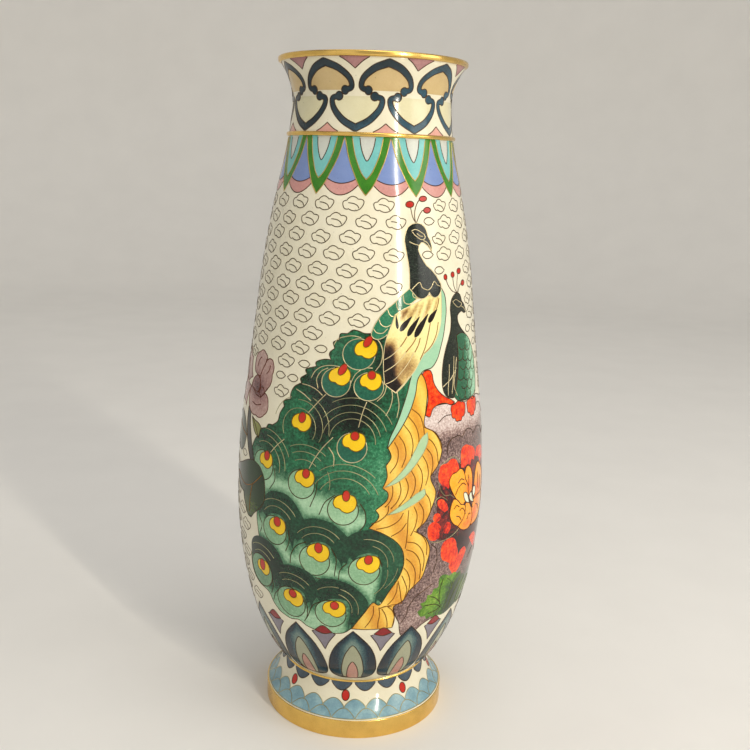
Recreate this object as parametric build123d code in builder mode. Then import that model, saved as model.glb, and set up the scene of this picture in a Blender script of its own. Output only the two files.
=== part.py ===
"""Cloisonne vase: a gilt-rimmed copper vessel under zones of enamel, with brass wires drawn on its surface.

Millimetres, +Z up, origin at the centre of the foot's underside.
"""

import os

from build123d import *

# Driving dimensions
HEIGHT = 305.0
BELLY_RADIUS = 58.2
BELLY_HEIGHT = 110.0
WAIST_HEIGHT = 24.8
WAIST_RADIUS = 35.0
NECK_RING_HEIGHT = 272.5
FOOT_BAND_RADIUS = 43.5
FOOT_BAND_HEIGHT = 8.8

# Wall build-up, each layer measured level from the outline inwards
ENAMEL = 1.0
COPPER = 1.3
LINING = 0.6
WALL = ENAMEL + COPPER + LINING

# Outer outline: tangent arcs that end at these (radius, height) points, up and down from the belly
BELLY = (BELLY_RADIUS, BELLY_HEIGHT)
SHOULDER = [(55.2, 155.0), (48.9, 205.0), (39.25, 258.0), (35.1, 285.0), (38.7, 300.0), (40.3, 302.6)]
LOWER_BELLY = [(52.15, 60.0), (43.25, 36.0), (WAIST_RADIUS, WAIST_HEIGHT)]
MOUTH_RADIUS, MOUTH_HEIGHT = SHOULDER[-1]

# Rings
RIM_HEIGHT = HEIGHT - MOUTH_HEIGHT
RIM_OVERHANG = 1.3
RIM_ROUND = 0.9
NECK_RING_RADIUS = 36.9
NECK_RING_HALF = 0.9
NECK_RING_PROUD = 0.6
NECK_RING_ROUND = 0.8
PLATE = 0.9
WAIST_RING_LIP = 0.3
WAIST_RING_PROUD = 0.4
WAIST_RING_ROUND = 0.4
BAND_LEDGE = 0.4
BAND_ROUND = 0.3

# Heights where one zone of enamel meets the next
PETAL_TOP = 60.6
COLLAR_BOTTOM = 247.6

# Foot: a flared copper skirt in a brass band, under the disc that closes the vessel
PLATE_RADIUS = WAIST_RADIUS - ENAMEL
BASE_ENAMEL = 0.5
FLARE_TOP = (PLATE_RADIUS, WAIST_HEIGHT - PLATE)
FLARE_MIDDLE = (36.6, 16.0)
FLARE_END = (FOOT_BAND_RADIUS - BAND_LEDGE - ENAMEL, FOOT_BAND_HEIGHT)
SKIRT_BOTTOM = 0.5

# Cloison wires, of which the part that stands on the fired enamel is modelled
WIRE = 0.4
WIRE_PROUD = 0.15
REACH = 70.0
HEARTS, FIRST_HEART = 9, 9.5
HEART_STROKE = 1.7
LAPPETS, FIRST_LAPPET = 12, -2.0
PETALS, FIRST_PETAL = 12, -1.0
DISCS, FIRST_DISC = 20, 9.0
BEADS, FIRST_BEAD = 8, -5.5
SCALES, FIRST_SCALE = 24, 1.5

os.makedirs("parts", exist_ok=True)


def save(piece, label):
    """Labels a finished piece and writes its STEP file."""
    piece.label = label
    export_step(piece, f"parts/{label}.step")


def inward(point, depth):
    """A point of an outline moved level towards the axis."""
    return (point[0] - depth, point[1])


def wall(outer_depth, inner_depth):
    """One layer of the vessel's wall, between two depths under its outline, from waist to mouth."""
    with BuildPart() as layer:
        with BuildSketch(Plane.XZ):
            with BuildLine():
                for depth in (outer_depth, inner_depth):
                    for direction, ends in (((0, 1), SHOULDER), ((0, -1), LOWER_BELLY)):
                        start, heading = inward(BELLY, depth), direction
                        for end in ends:
                            arc = TangentArc(start, inward(end, depth), tangent=heading)
                            start, heading = arc @ 1, arc % 1
                for end in (SHOULDER[-1], LOWER_BELLY[-1]):
                    Line(inward(end, outer_depth), inward(end, inner_depth))
            make_face()
        revolve(axis=Axis.Z)
    return layer.part


def flare(outer_depth, inner_depth, bottom):
    """One layer of the foot's flare and skirt, at depths under the outside of its copper."""
    with BuildPart() as layer:
        with BuildSketch(Plane.XZ):
            with BuildLine():
                for depth in (outer_depth, inner_depth):
                    ThreePointArc(*(inward(point, depth) for point in (FLARE_TOP, FLARE_MIDDLE, FLARE_END)))
                    if bottom < FOOT_BAND_HEIGHT:
                        Line(inward(FLARE_END, depth), (FLARE_END[0] - depth, bottom))
                for end in (FLARE_TOP, (FLARE_END[0], bottom)):
                    Line(inward(end, outer_depth), inward(end, inner_depth))
            make_face()
        revolve(axis=Axis.Z)
    return layer.part


def between(layer, low, high):
    """The part of a wall between two heights."""
    with BuildPart() as zone:
        with BuildSketch(Plane.XY.offset(low)):
            Circle(REACH)
        extrude(amount=high - low)
        add(layer, mode=Mode.INTERSECT)
    return zone.part


def wire_round():
    """Turns the open sketch's face into the wire that runs round its edge."""
    offset(amount=WIRE / 2)
    offset(amount=-WIRE, mode=Mode.SUBTRACT)


def heart(apex, shoulder_middle, shoulder, curl_middle, curl_end):
    """The wire round a heart that is drawn with one broad stroke, curled in at both ends."""
    with BuildSketch(Plane.XZ) as outline:
        with BuildLine() as half:
            ThreePointArc(apex, shoulder_middle, shoulder)
            ThreePointArc(shoulder, curl_middle, curl_end)
            mirror(half.line, about=Plane.YZ)
            offset(amount=HEART_STROKE / 2, side=Side.BOTH)
        make_face()
        wire_round()
    return outline.sketch


def leaf(tip, side, corner, *round_off):
    """The wire round a pointed leaf: an arc down each side, an optional second arc, then straight across."""
    with BuildSketch(Plane.XZ) as outline:
        with BuildLine() as half:
            ThreePointArc(tip, side, corner)
            if round_off:
                ThreePointArc(corner, *round_off)
            mirror(half.line, about=Plane.YZ)
            across, height = round_off[-1] if round_off else corner
            Line((across, height), (-across, height))
        make_face()
        wire_round()
    return outline.sketch


def half_disc(half_width, straight, crown):
    """The wire round a segment of a circle, from its straight edge's height to its crown's."""
    with BuildSketch(Plane.XZ) as outline:
        with BuildLine():
            ThreePointArc((-half_width, straight), (0, crown), (half_width, straight))
            Line((half_width, straight), (-half_width, straight))
        make_face()
        wire_round()
    return outline.sketch


def bead(radius, height):
    """The wire round a small disc."""
    with BuildSketch(Plane.XZ) as outline:
        with Locations((0, height)):
            Circle(radius)
        wire_round()
    return outline.sketch


def wires(layer, *patterns):
    """Wires standing on a wall. A pattern is a flat front view, its number round the axis and where it starts."""
    solids = []
    for sketch, copies, first in patterns:
        with BuildPart() as wire:
            extrude(sketch, amount=REACH)
            add(layer, mode=Mode.INTERSECT)
        for copy in range(copies):
            turn = first + copy * 360 / copies
            solids.extend(solid.rotate(Axis.Z, turn) for solid in wire.solids())
    return Compound(children=solids)


# Metal vessel: body and neck meet under the neck ring, and a disc closes the waist
copper = wall(ENAMEL, ENAMEL + COPPER)
save(between(copper, WAIST_HEIGHT, NECK_RING_HEIGHT), "copper_body")
save(between(copper, NECK_RING_HEIGHT, MOUTH_HEIGHT), "copper_neck")

with BuildPart() as base_plate:
    with BuildSketch(Plane.XY.offset(WAIST_HEIGHT)):
        Circle(PLATE_RADIUS)
    extrude(amount=-PLATE)
save(base_plate.part, "base_plate")

save(flare(0, COPPER, SKIRT_BOTTOM), "copper_foot")

# Gilt brass rings
with BuildPart() as mouth_rim:
    with BuildSketch(Plane.XZ):
        with Locations((MOUTH_RADIUS + (RIM_OVERHANG - WALL) / 2, MOUTH_HEIGHT + RIM_HEIGHT / 2)):
            RectangleRounded(WALL + RIM_OVERHANG, RIM_HEIGHT, RIM_ROUND)
    revolve(axis=Axis.Z)
save(mouth_rim.part, "mouth_rim")

with BuildPart() as neck_ring:
    with BuildSketch(Plane.XZ):
        with Locations((NECK_RING_RADIUS - NECK_RING_HALF, NECK_RING_HEIGHT)):
            RectangleRounded(2 * (NECK_RING_PROUD + NECK_RING_HALF), 2 * NECK_RING_HALF, NECK_RING_ROUND)
    revolve(axis=Axis.Z)
    add(wall(ENAMEL, WALL + ENAMEL), mode=Mode.SUBTRACT)
save(neck_ring.part, "neck_ring")

with BuildPart() as waist_ring:
    with BuildSketch(Plane.XZ):
        with Locations((PLATE_RADIUS, FLARE_TOP[1])):
            RectangleRounded(
                ENAMEL + WAIST_RING_PROUD, PLATE + WAIST_RING_LIP, WAIST_RING_ROUND, align=(Align.MIN, Align.MIN)
            )
    revolve(axis=Axis.Z)
    add(copper, mode=Mode.SUBTRACT)
save(waist_ring.part, "waist_ring")

with BuildPart() as foot_band:
    with BuildSketch(Plane.XY):
        Circle(FOOT_BAND_RADIUS)
        Circle(FLARE_END[0], mode=Mode.SUBTRACT)
    extrude(amount=FOOT_BAND_HEIGHT)
    fillet(foot_band.edges().filter_by(GeomType.CIRCLE).group_by(SortBy.RADIUS)[-1], BAND_ROUND)
save(foot_band.part, "foot_band")

# Enamel zones, from the mouth down
enamel = wall(0, ENAMEL)
save(between(enamel, NECK_RING_HEIGHT + NECK_RING_HALF, MOUTH_HEIGHT), "enamel_neck")
save(between(enamel, COLLAR_BOTTOM, NECK_RING_HEIGHT - NECK_RING_HALF), "enamel_collar")
save(between(enamel, PETAL_TOP, COLLAR_BOTTOM), "enamel_body")
save(between(enamel, WAIST_HEIGHT + WAIST_RING_LIP, PETAL_TOP), "enamel_petal_band")
save(flare(-ENAMEL, 0, FOOT_BAND_HEIGHT), "enamel_foot")

# Counter-enamel: a lining with its own floor, and a disc under the base
with BuildPart() as enamel_lining:
    add(wall(ENAMEL + COPPER, WALL))
    with BuildSketch(Plane.XY.offset(WAIST_HEIGHT)):
        Circle(WAIST_RADIUS - ENAMEL - COPPER)
    extrude(amount=LINING)
save(enamel_lining.part, "enamel_lining")

with BuildPart() as enamel_base:
    with BuildSketch(Plane.XY.offset(FLARE_TOP[1])):
        Circle(PLATE_RADIUS - COPPER)
    extrude(amount=-BASE_ENAMEL)
save(enamel_base.part, "enamel_base")

# Cloison wires of the repeated borders
on_vessel = wall(-WIRE_PROUD, 0)
upper_heart = heart((0, 300.6), (6.2, 297.9), (9.9, 293.4), (9.6, 290.7), (7.2, 289.7))
lower_heart = heart((0, 275.0), (5.9, 278.4), (9.9, 283.6), (9.9, 286.8), (7.2, 287.8))
heart_turn = 180 / HEARTS
hearts = wires(
    on_vessel, (upper_heart, HEARTS, FIRST_HEART), (lower_heart, HEARTS, FIRST_HEART + heart_turn)
)
save(hearts, "heart_wires")

lappets = wires(
    on_vessel,
    (leaf((0, 248.4), (5.9, 257.0), (9.0, 271.2)), LAPPETS, FIRST_LAPPET),
    (leaf((0, 255.0), (4.3, 261.5), (6.6, 271.2)), LAPPETS, FIRST_LAPPET),
    (leaf((0, 262.2), (2.2, 265.9), (3.1, 271.2)), LAPPETS, FIRST_LAPPET),
)
save(lappets, "lappet_wires")

dart_turn = 180 / PETALS
petals = wires(
    on_vessel,
    (leaf((0, 58.6), (7.9, 49.6), (10.9, 37.5), (9.6, 30.8), (5.5, 28.3)), PETALS, FIRST_PETAL),
    (leaf((0, 50.3), (3.9, 43.8), (4.9, 35.0), (4.8, 31.5), (4.3, 28.9)), PETALS, FIRST_PETAL),
    (leaf((0, 40.2), (1.9, 36.2), (2.5, 29.6)), PETALS, FIRST_PETAL),
    (leaf((0, 47.2), (2.4, 51.6), (5.2, 56.2), (3.7, 58.9), (1.0, 60.1)), PETALS, FIRST_PETAL + dart_turn),
)
save(petals, "petal_wires")

on_foot = flare(-ENAMEL - WIRE_PROUD, -ENAMEL, FOOT_BAND_HEIGHT)
scale_turn = 180 / SCALES
foot_motifs = wires(
    on_foot,
    (half_disc(4.9, 23.5, 20.2), DISCS, FIRST_DISC),
    (bead(1.8, 18.0), BEADS, FIRST_BEAD),
    (half_disc(4.6, 13.4, 16.4), SCALES, FIRST_SCALE),
    (half_disc(5.0, 9.6, 12.9), SCALES, FIRST_SCALE + scale_turn),
)
save(foot_motifs, "foot_wires")
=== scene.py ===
import math

import bpy
import numpy as np
from mathutils import Matrix, Vector
from mathutils.geometry import delaunay_2d_cdt
from mathutils.kdtree import KDTree


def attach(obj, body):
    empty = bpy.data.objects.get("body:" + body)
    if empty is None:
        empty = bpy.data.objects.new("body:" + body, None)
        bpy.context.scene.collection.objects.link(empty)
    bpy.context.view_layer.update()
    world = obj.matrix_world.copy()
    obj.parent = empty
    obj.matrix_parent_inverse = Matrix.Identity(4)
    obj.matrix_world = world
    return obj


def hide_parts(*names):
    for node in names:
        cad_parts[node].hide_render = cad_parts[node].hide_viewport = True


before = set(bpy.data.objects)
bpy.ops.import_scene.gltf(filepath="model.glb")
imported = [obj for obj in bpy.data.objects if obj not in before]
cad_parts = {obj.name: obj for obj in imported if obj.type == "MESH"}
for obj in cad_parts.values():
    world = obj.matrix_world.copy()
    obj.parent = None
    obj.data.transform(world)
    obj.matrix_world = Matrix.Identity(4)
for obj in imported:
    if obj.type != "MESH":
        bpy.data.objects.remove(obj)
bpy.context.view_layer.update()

# The decoration is drawn on an unrolled sheet: x is the angle round the vase in degrees, 0 at the front
# (-Y) and positive to the right (+X), and y is the height in mm. Later areas cover earlier ones.

MM = 0.001

# ---------------------------------------------------------------- the vase's outline
BELLY = (58.2, 110.0)
SHOULDER = [(55.2, 155), (48.9, 205), (39.25, 258), (35.1, 285), (38.7, 300), (40.3, 302.6)]
LOWER_BELLY = [(52.15, 60), (43.25, 36), (35, 24.8)]
FLARE = [(35, 23.9), (37.6, 16), (43.1, 8.8)]
FOOT_BOTTOM, FOOT_TOP, BODY_BOTTOM, BODY_TOP, NECK_BOTTOM, MOUTH = 8.8, 23.9, 25.1, 271.6, 273.4, 302.6
SLOPE_MM = 0.05  # how far to either side the slope is measured
END_MM = 0.06  # so near to either end the slope is taken as none


def arc_chain(start, heading, ends):
    """Tangent arcs from start through each end, as (low z, high z, centre r, centre z, arc radius, p, q)."""
    spans = []
    p, t = np.array(start), np.array(heading, float)
    for end in ends:
        q = np.array(end)
        chord = q - p
        normal = np.array([-t[1], t[0]])
        bend = 2 * chord.dot(normal) / chord.dot(chord)
        centre = p + normal / bend
        spans.append((min(p[1], q[1]), max(p[1], q[1]), centre[0], centre[1], abs(1 / bend), p, q))
        unit = chord / np.linalg.norm(chord)
        t = 2 * t.dot(unit) * unit - t
        p = q
    return spans


def arc_through(a, b, c):
    """The circle through three points, as one span like those of arc_chain."""
    (ax, ay), (bx, by), (cx, cy) = a, b, c
    d = 2 * (ax * (by - cy) + bx * (cy - ay) + cx * (ay - by))
    ux = ((ax**2 + ay**2) * (by - cy) + (bx**2 + by**2) * (cy - ay) + (cx**2 + cy**2) * (ay - by)) / d
    uy = ((ax**2 + ay**2) * (cx - bx) + (bx**2 + by**2) * (ax - cx) + (cx**2 + cy**2) * (bx - ax)) / d
    return (cy, ay, ux, uy, math.hypot(ax - ux, ay - uy), np.array(c), np.array(a))


SPANS = arc_chain(BELLY, (0, 1), SHOULDER) + arc_chain(BELLY, (0, -1), LOWER_BELLY)
SPANS.append(arc_through(*FLARE))


def radius(z):
    """The vase's outer radius in mm at heights z in mm."""
    z = np.clip(np.asarray(z, float), FOOT_BOTTOM, MOUTH)
    out = np.full(z.shape, FLARE[0][0], float)
    for low, high, cr, cz, r, p, q in SPANS:
        here = (z >= low - 1e-6) & (z <= high + 1e-6)
        if not here.any():
            continue
        half = np.sqrt(np.maximum(r * r - (z[here] - cz) ** 2, 0))
        middle = p[0] + (q[0] - p[0]) * (z[here] - p[1]) / (q[1] - p[1])
        out[here] = np.where(abs(cr + half - middle) < abs(cr - half - middle), cr + half, cr - half)
    return out


def on_vase(sheet, lift=0.0):
    """Points of the sheet as points on the vase's surface in metres, and the surface's normals there."""
    sheet = np.asarray(sheet, float).reshape(-1, 2)
    a, z = np.radians(sheet[:, 0]), sheet[:, 1]
    r = radius(z)
    slope = (radius(z + SLOPE_MM) - radius(z - SLOPE_MM)) / (2 * SLOPE_MM)
    slope = np.where((z > MOUTH - END_MM) | (z < FOOT_BOTTOM + END_MM), 0.0, slope)
    length = np.sqrt(1 + slope**2)
    out = np.stack([np.sin(a), -np.cos(a), np.zeros_like(a)], 1)
    normal = np.stack([out[:, 0] / length, out[:, 1] / length, -slope / length], 1)
    points = np.stack([out[:, 0] * r, out[:, 1] * r, z], 1) + normal * np.reshape(lift, (-1, 1))
    return points * MM, normal


def degrees_per_mm(z):
    return 180 / (math.pi * float(radius([z])[0]))


# ---------------------------------------------------------------- drawing on the sheet
STEP = 0.7  # the longest step along a curve, in mm or degrees
AREAS = []  # (piece, outline, kind of wire) in painter's order
LINES = []  # (kind of wire, points, how many areas came before)
CORNER = 1  # a corner's third value


def curve(points, closed=False):
    """A smooth curve through sheet points. A point with a third value is a corner."""
    points = [(*p, 0) if len(p) == 2 else tuple(p) for p in points]
    if closed:
        first = next((i for i, p in enumerate(points) if p[2]), None)
        if first is None:
            points = points[-1:] + points + points[:2]
        else:
            points = points[first:] + points[: first + 1]
    p = np.array([q[:2] for q in points], float)
    corner = [q[2] for q in points]
    loop = closed and not any(corner)
    out = []
    for i in range(1 if loop else 0, len(p) - (2 if loop else 1)):
        a, b = p[i], p[i + 1]
        before = p[i - 1] if i > 0 and not corner[i] else a + (a - b)
        after = p[i + 2] if i + 2 < len(p) and not corner[i + 1] else b + (b - a)
        knots = [0.0]
        for u, v in ((before, a), (a, b), (b, after)):
            knots.append(knots[-1] + max(math.hypot(*(v - u)), 1e-6) ** 0.5)
        t0, t1, t2, t3 = knots
        n = max(2, math.ceil(math.hypot(*(b - a)) / STEP))
        for t in np.linspace(t1, t2, n, endpoint=False):
            a1 = (t1 - t) / (t1 - t0) * before + (t - t0) / (t1 - t0) * a
            a2 = (t2 - t) / (t2 - t1) * a + (t - t1) / (t2 - t1) * b
            a3 = (t3 - t) / (t3 - t2) * b + (t - t2) / (t3 - t2) * after
            b1 = (t2 - t) / (t2 - t0) * a1 + (t - t0) / (t2 - t0) * a2
            b2 = (t3 - t) / (t3 - t1) * a2 + (t - t1) / (t3 - t1) * a3
            out.append((t2 - t) / (t2 - t1) * b1 + (t - t1) / (t2 - t1) * b2)
    if not closed:
        out.append(p[-1])
    return np.array(out)


def lobes(points):
    """A closed outline of arcs from each (x, y, bulge) point to the next, bulging to the left of the way."""
    out = []
    for (x0, y0, bulge), (x1, y1, _) in zip(points, points[1:] + points[:1]):
        dx, dy = x1 - x0, y1 - y0
        length = math.hypot(dx, dy)
        n = max(9, math.ceil(length * 1.4 / STEP))
        for k in range(n):
            t = k / n
            side = math.sin(math.pi * t) ** 0.8 * bulge
            out.append((x0 + dx * t - dy / length * side, y0 + dy * t + dx / length * side))
    return np.array(out)


def oval(a, z, half_width, half_height, tilt=0.0, start=0.0, end=360.0):
    """An oval, or part of one, with half sizes in mm; tilt and the ends are degrees to the left."""
    whole = end - start >= 360
    n = max(10, math.ceil(math.radians(end - start) * max(half_width, half_height) / STEP))
    t = np.radians(np.linspace(start, end, n, endpoint=not whole))
    x, y = half_width * np.cos(t), half_height * np.sin(t)
    c, s = math.cos(math.radians(tilt)), math.sin(math.radians(tilt))
    return np.stack([a + (x * c - y * s) * degrees_per_mm(z), z + x * s + y * c], 1)


def placed(points, a, z, tilt=0.0, size=1.0, flip=False):
    """Points in mm about a motif's own centre, as sheet points; any further values are kept."""
    c, s = math.cos(math.radians(tilt)) * size, math.sin(math.radians(tilt)) * size
    scale = degrees_per_mm(z)
    out = []
    for p in points:
        x = -p[0] if flip else p[0]
        out.append((a + (x * c - p[1] * s) * scale, z + x * s + p[1] * c, *p[2:]))
    return out


def mirrored(half, a):
    """A closed outline from its right half, given from one end to the other, about the angle a."""
    left = [(-p[0], *p[1:]) for p in reversed(half) if p[0]]
    return [(p[0] + a, *p[1:]) for p in list(half) + left]


def area(piece, outline, wire="dark"):
    """One cell, or a patch of several, in painter's order; wire is the kind of wire round it, or None."""
    AREAS.append((piece, np.asarray(outline, float), wire))


def blob(piece, points, wire="dark"):
    area(piece, curve(points, closed=True), wire)


def line(points, wire="dark", smooth=True):
    """A wire on its own, hidden where a later area covers it."""
    LINES.append((wire, curve(points) if smooth else np.asarray(points, float), len(AREAS)))


def lines(wire, *paths):
    for path in paths:
        line(path, wire)


def around(count, first, draw):
    """Draws a motif at count angles round the vase, beginning with first."""
    for k in range(count):
        draw((first + 360 / count * k + 180) % 360 - 180)


# ---------------------------------------------------------------- borders
def on_front_plane(points, a):
    """Points drawn on a flat plane in front of the vase, wrapped on to it about the angle a."""
    out = []
    for x, z in points:
        out.append((a + math.degrees(math.asin(x / float(radius([z])[0]))), z))
    return out


def stroke(points):
    """The outline of a broad line that swells to its middle and ends in round knobs, in sheet units."""
    scale = degrees_per_mm(points[len(points) // 2][1])
    p = np.array([(x / scale, y) for x, y in points])
    run = np.concatenate([[0], np.cumsum(np.linalg.norm(np.diff(p, axis=0), axis=1))])
    fine = np.linspace(0, run[-1], math.ceil(run[-1] / HEART_STEP))
    p = np.stack([np.interp(fine, run, p[:, k]) for k in (0, 1)], 1)
    t = np.gradient(p, axis=0)
    t /= np.linalg.norm(t, axis=1)[:, None]
    end = np.minimum(fine, run[-1] - fine)
    knob = np.sqrt(np.maximum(KNOB**2 - end**2, 0))
    half = np.maximum(knob, HEART_THIN + HEART_SWELL * end / end.max())
    n = np.stack([-t[:, 1], t[:, 0]], 1) * half[:, None]
    caps = []
    for centre, side, away in ((p[-1], n[-1], t[-1]), (p[0], -n[0], -t[0])):
        turn = np.radians(np.linspace(12, 168, 9))[:, None]
        caps.append(centre + side * np.cos(turn) + away * KNOB * np.sin(turn))
    ring = np.concatenate([p + n, caps[0], (p - n)[::-1], caps[1]])
    return np.stack([ring[:, 0] * scale, ring[:, 1]], 1)


KNOB, HEART_THIN, HEART_SWELL, HEART_STEP = 1.75, 1.0, 0.45, 0.45
UPPER_HEART = [(0, 300.6), (6, 298.1), (9.9, 294), (10.2, 291.2), (7.4, 289.9)]
LOWER_HEART = [(0, 275), (5.9, 278.4), (9.9, 283.4), (10.4, 286.4), (7.4, 287.6)]


def heart(half, fill):
    """The function that draws one heart at an angle, from its right half: a fill with a broad outline."""
    def draw(a):
        both = on_front_plane([(-x, z) for x, z in reversed(half)][:-1] + half, a)
        apex = len(half) - 1
        both[apex] = (*both[apex], CORNER)
        middle = curve(both)
        area(fill, middle, None)
        area("heart_scrolls", stroke(middle))
    return draw


def neck_triangles():
    upper = [(-9.5, 302.7, 1), (-5, 300.9), (0, 298.2, 1), (5, 300.9), (9.5, 302.7, 1)]
    lower = [(-9, 273.3, 1), (-4.5, 274.8), (0, 277, 1), (4.5, 274.8), (9, 273.3, 1)]
    around(9, 29, lambda a: blob("neck_mauve", [(a + x, *rest) for x, *rest in upper]))
    around(9, 9.5, lambda a: blob("neck_pink", [(a + x, *rest) for x, *rest in lower]))


def collar():
    """Lappets of three colours hanging from the neck ring, with two more colours between them."""
    def between_lappets(a):
        area("collar_pink", lobes([(a + 13, 271.7, 0), (a - 13, 271.7, 0), (a - 10.8, 252.8, 0),
            (a - 10.8, 252.7, -4.7), (a + 10.8, 252.7, 0), (a + 10.8, 252.8, 0)]))
        area("collar_blue", lobes([(a + 13, 271.7, 0), (a - 13, 271.7, 0), (a - 9.2, 254.8, -2.1),
            (a + 9.2, 254.8, 0)]))

    def lappet(a):
        outer = [(0, 248.1, 1), (4, 251.9), (7.4, 256.7), (11.5, 263.2), (15, 271.7, 1)]
        middle = [(0, 254.5, 1), (2.9, 256.9), (5.5, 260.6), (8, 265.2), (10.2, 271.7, 1)]
        core = [(0, 261.9), (2.3, 264.2), (4.2, 268), (5.1, 271.7, 1)]
        blob("lappet_green", mirrored(outer, a), "collar")
        blob("lappet_turquoise", mirrored(middle, a), "collar")
        blob("lappet_core", mirrored(core, a), "dark")

    around(12, 13, between_lappets)
    around(12, -2, lappet)


def petal_band():
    """A ring of upright petals at the bottom of the belly, with darts between them."""
    def dart(a):
        blob("dart_lilac", [(a - 6.2, 56.4, 1), (a - 2.6, 51.6), (a, 46.8, 1), (a + 2.6, 51.6),
            (a + 6.2, 56.4, 1), (a, 58.4)])
        blob("dart_red", [(a - 4.7, 57.2, 1), (a, 60.4), (a + 4.7, 57.2, 1), (a, 55.9)])

    def petal(a):
        outer = [(0, 58.9, 1), (4.2, 55), (8.8, 50), (12.2, 44), (14, 38), (14.4, 34), (13, 30.6),
            (9, 28.6), (3, 28)]
        inner = [(0, 50.4), (3.2, 46.6), (5.2, 42), (6.4, 37), (6.8, 32.5), (6, 28.8, 1), (3, 28.2)]
        core = [(0, 40.2), (2.1, 37.6), (3.3, 34), (3.8, 30), (3.6, 28, 1)]
        blob("petal_navy", mirrored(outer, a))
        blob("petal_beige", mirrored(inner, a))
        blob("petal_pink", mirrored(core, a))

    around(12, 14, dart)
    around(12, -1, petal)


def foot():
    """Scales, half discs and drops."""
    def upper_scale(a):
        area("foot_sky", lobes([(a - 7.4, 9.3, 0), (a - 7.4, 13.4, 3.1), (a + 7.4, 13.4, 0),
            (a + 7.4, 9.3, 0)]), "foot")

    around(24, 1.5, upper_scale)
    around(24, 9, lambda a: area("foot_sky", lobes([(a - 7.4, 9.3, 3.6), (a + 7.4, 9.3, 0)]), "foot"))
    around(20, 9, lambda a: area("foot_discs", lobes([(a + 8.4, 23.95, 4), (a - 8.4, 23.95, 0)])))
    around(8, -5.5, lambda a: area("foot_drops", oval(a, 18, 1.8, 2.25)))


# ---------------------------------------------------------------- clouds
CLOUD = [(-3.9, -1.7, 1.55), (-2.9, 1.2, 1.35), (1.7, 1.65, 2.75), (2.7, -1.95, 0.85), (-2, -2.05, 0.35)]
CLOUD_TICK = [(-2.3, 0.25), (-0.7, 0.1), (0.7, -0.3), (1.7, -1), (2.2, -1.95)]
DROP = [(-2.9, 0.1, 1), (-0.9, 1.5), (1.6, 1.4), (2.8, 0.2), (1.6, -1.2), (-0.9, -1.2)]
CLOUD_ROWS, CLOUD_TOP, CLOUD_DROP, CLOUD_PITCH = 28, 244.6, 6.66, 12.7
CLOUD_FIRST = (-25.5, -17.3)  # the angle where even and odd rows begin
CLOUD_TRIES = [(0, 1), (-1.6, 0.84), (1.6, 0.84), (-3.0, 0.6), (3.0, 0.6)]  # (mm aside, size)
CLOUD_LIFT, CLOUD_TILT, CLOUD_GROWTH = 0.25, 1.5, 0.04  # how clouds differ, in mm, degrees and size
CLOUD_ROOM = 1.15  # the room that a cloud needs, as a multiple of its size
DROP_SIZE = 0.8  # a cloud smaller than this is only a drop


def covered(outline):
    """Whether any of an outline's points lies on a motif."""
    return any(inside(outline, ring).any() for _, ring, _ in AREAS)


def inside(points, ring):
    """Which points lie within a closed ring."""
    low, high = ring.min(0), ring.max(0)
    near = np.flatnonzero(((points >= low) & (points <= high)).all(1))
    out = np.zeros(len(points), bool)
    if not len(near):
        return out
    x, y = points[near, 0][:, None], points[near, 1][:, None]
    x0, y0 = ring[:, 0][None], ring[:, 1][None]
    x1, y1 = np.roll(ring[:, 0], -1)[None], np.roll(ring[:, 1], -1)[None]
    with np.errstate(divide="ignore", invalid="ignore"):
        cross = ((y0 > y) != (y1 > y)) & (x < (x1 - x0) * (y - y0) / (y1 - y0) + x0)
    out[near] = cross.sum(1) % 2 == 1
    return out


def clouds():
    """Rows of small clouds wherever no motif lies; one that would touch a motif moves aside and shrinks."""
    found = []
    wires = np.concatenate([points for _, points, _ in LINES])
    for row in range(CLOUD_ROWS):
        z = CLOUD_TOP - CLOUD_DROP * row
        count = round(2 * math.pi * float(radius([z])[0]) / CLOUD_PITCH)
        first = CLOUD_FIRST[row % 2]
        for k in range(count):
            a = (first + 360 / count * k + 180) % 360 - 180
            wobble = math.sin(row * 2.3 + k * 1.7)
            for shift, size in CLOUD_TRIES:
                at = a + shift * degrees_per_mm(z), z + CLOUD_LIFT * wobble
                if size > DROP_SIZE:
                    grown = size * (1 + CLOUD_GROWTH * wobble)
                    ring = lobes(placed(CLOUD, *at, tilt=CLOUD_TILT * wobble, size=grown))
                else:
                    ring = curve(placed(DROP, *at, flip=shift > 0), closed=True)
                room = lobes(placed(CLOUD, *at, size=size * CLOUD_ROOM))
                if not covered(room) and not inside(wires, ring).any():
                    found.append((ring, at, size, wobble))
                    break
    for ring, at, size, wobble in found:
        LINES.append(("cloud", np.vstack([ring, ring[:1]]), len(AREAS)))
        if size > DROP_SIZE:
            tick = curve(placed(CLOUD_TICK, *at, tilt=CLOUD_TILT * wobble, size=size))
            LINES.append(("cloud", tick, len(AREAS)))


# ---------------------------------------------------------------- the bird's train
EYE = [(-4.8, -0.2), (-3.9, 2.2), (-1.8, 3.5), (1.2, 3.9), (3.9, 3), (4.9, 0.4), (4, -2.4), (1.4, -4),
    (-1, -3.4), (-2, -2.5), (-3.8, -2.1)]


def eye(a, z, tilt=0.0, size=1.0, drop_at=(0.9, 2.1), drop_tilt=-12.0, drop=(1.7, 2.3)):
    """The three-lobed yellow spot of a feather, with its red drop."""
    blob("eye_yellow", placed(EYE, a, z, tilt, size), "eye")
    (x, y), = placed([drop_at], a, z, tilt, size)
    area("eye_red", oval(x, y, drop[0], drop[1], tilt + drop_tilt), "eye")


def rings(a, z, radii, start, end):
    for r in radii:
        line(oval(a, z, r, r, start=start, end=end), "fine", smooth=False)


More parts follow.
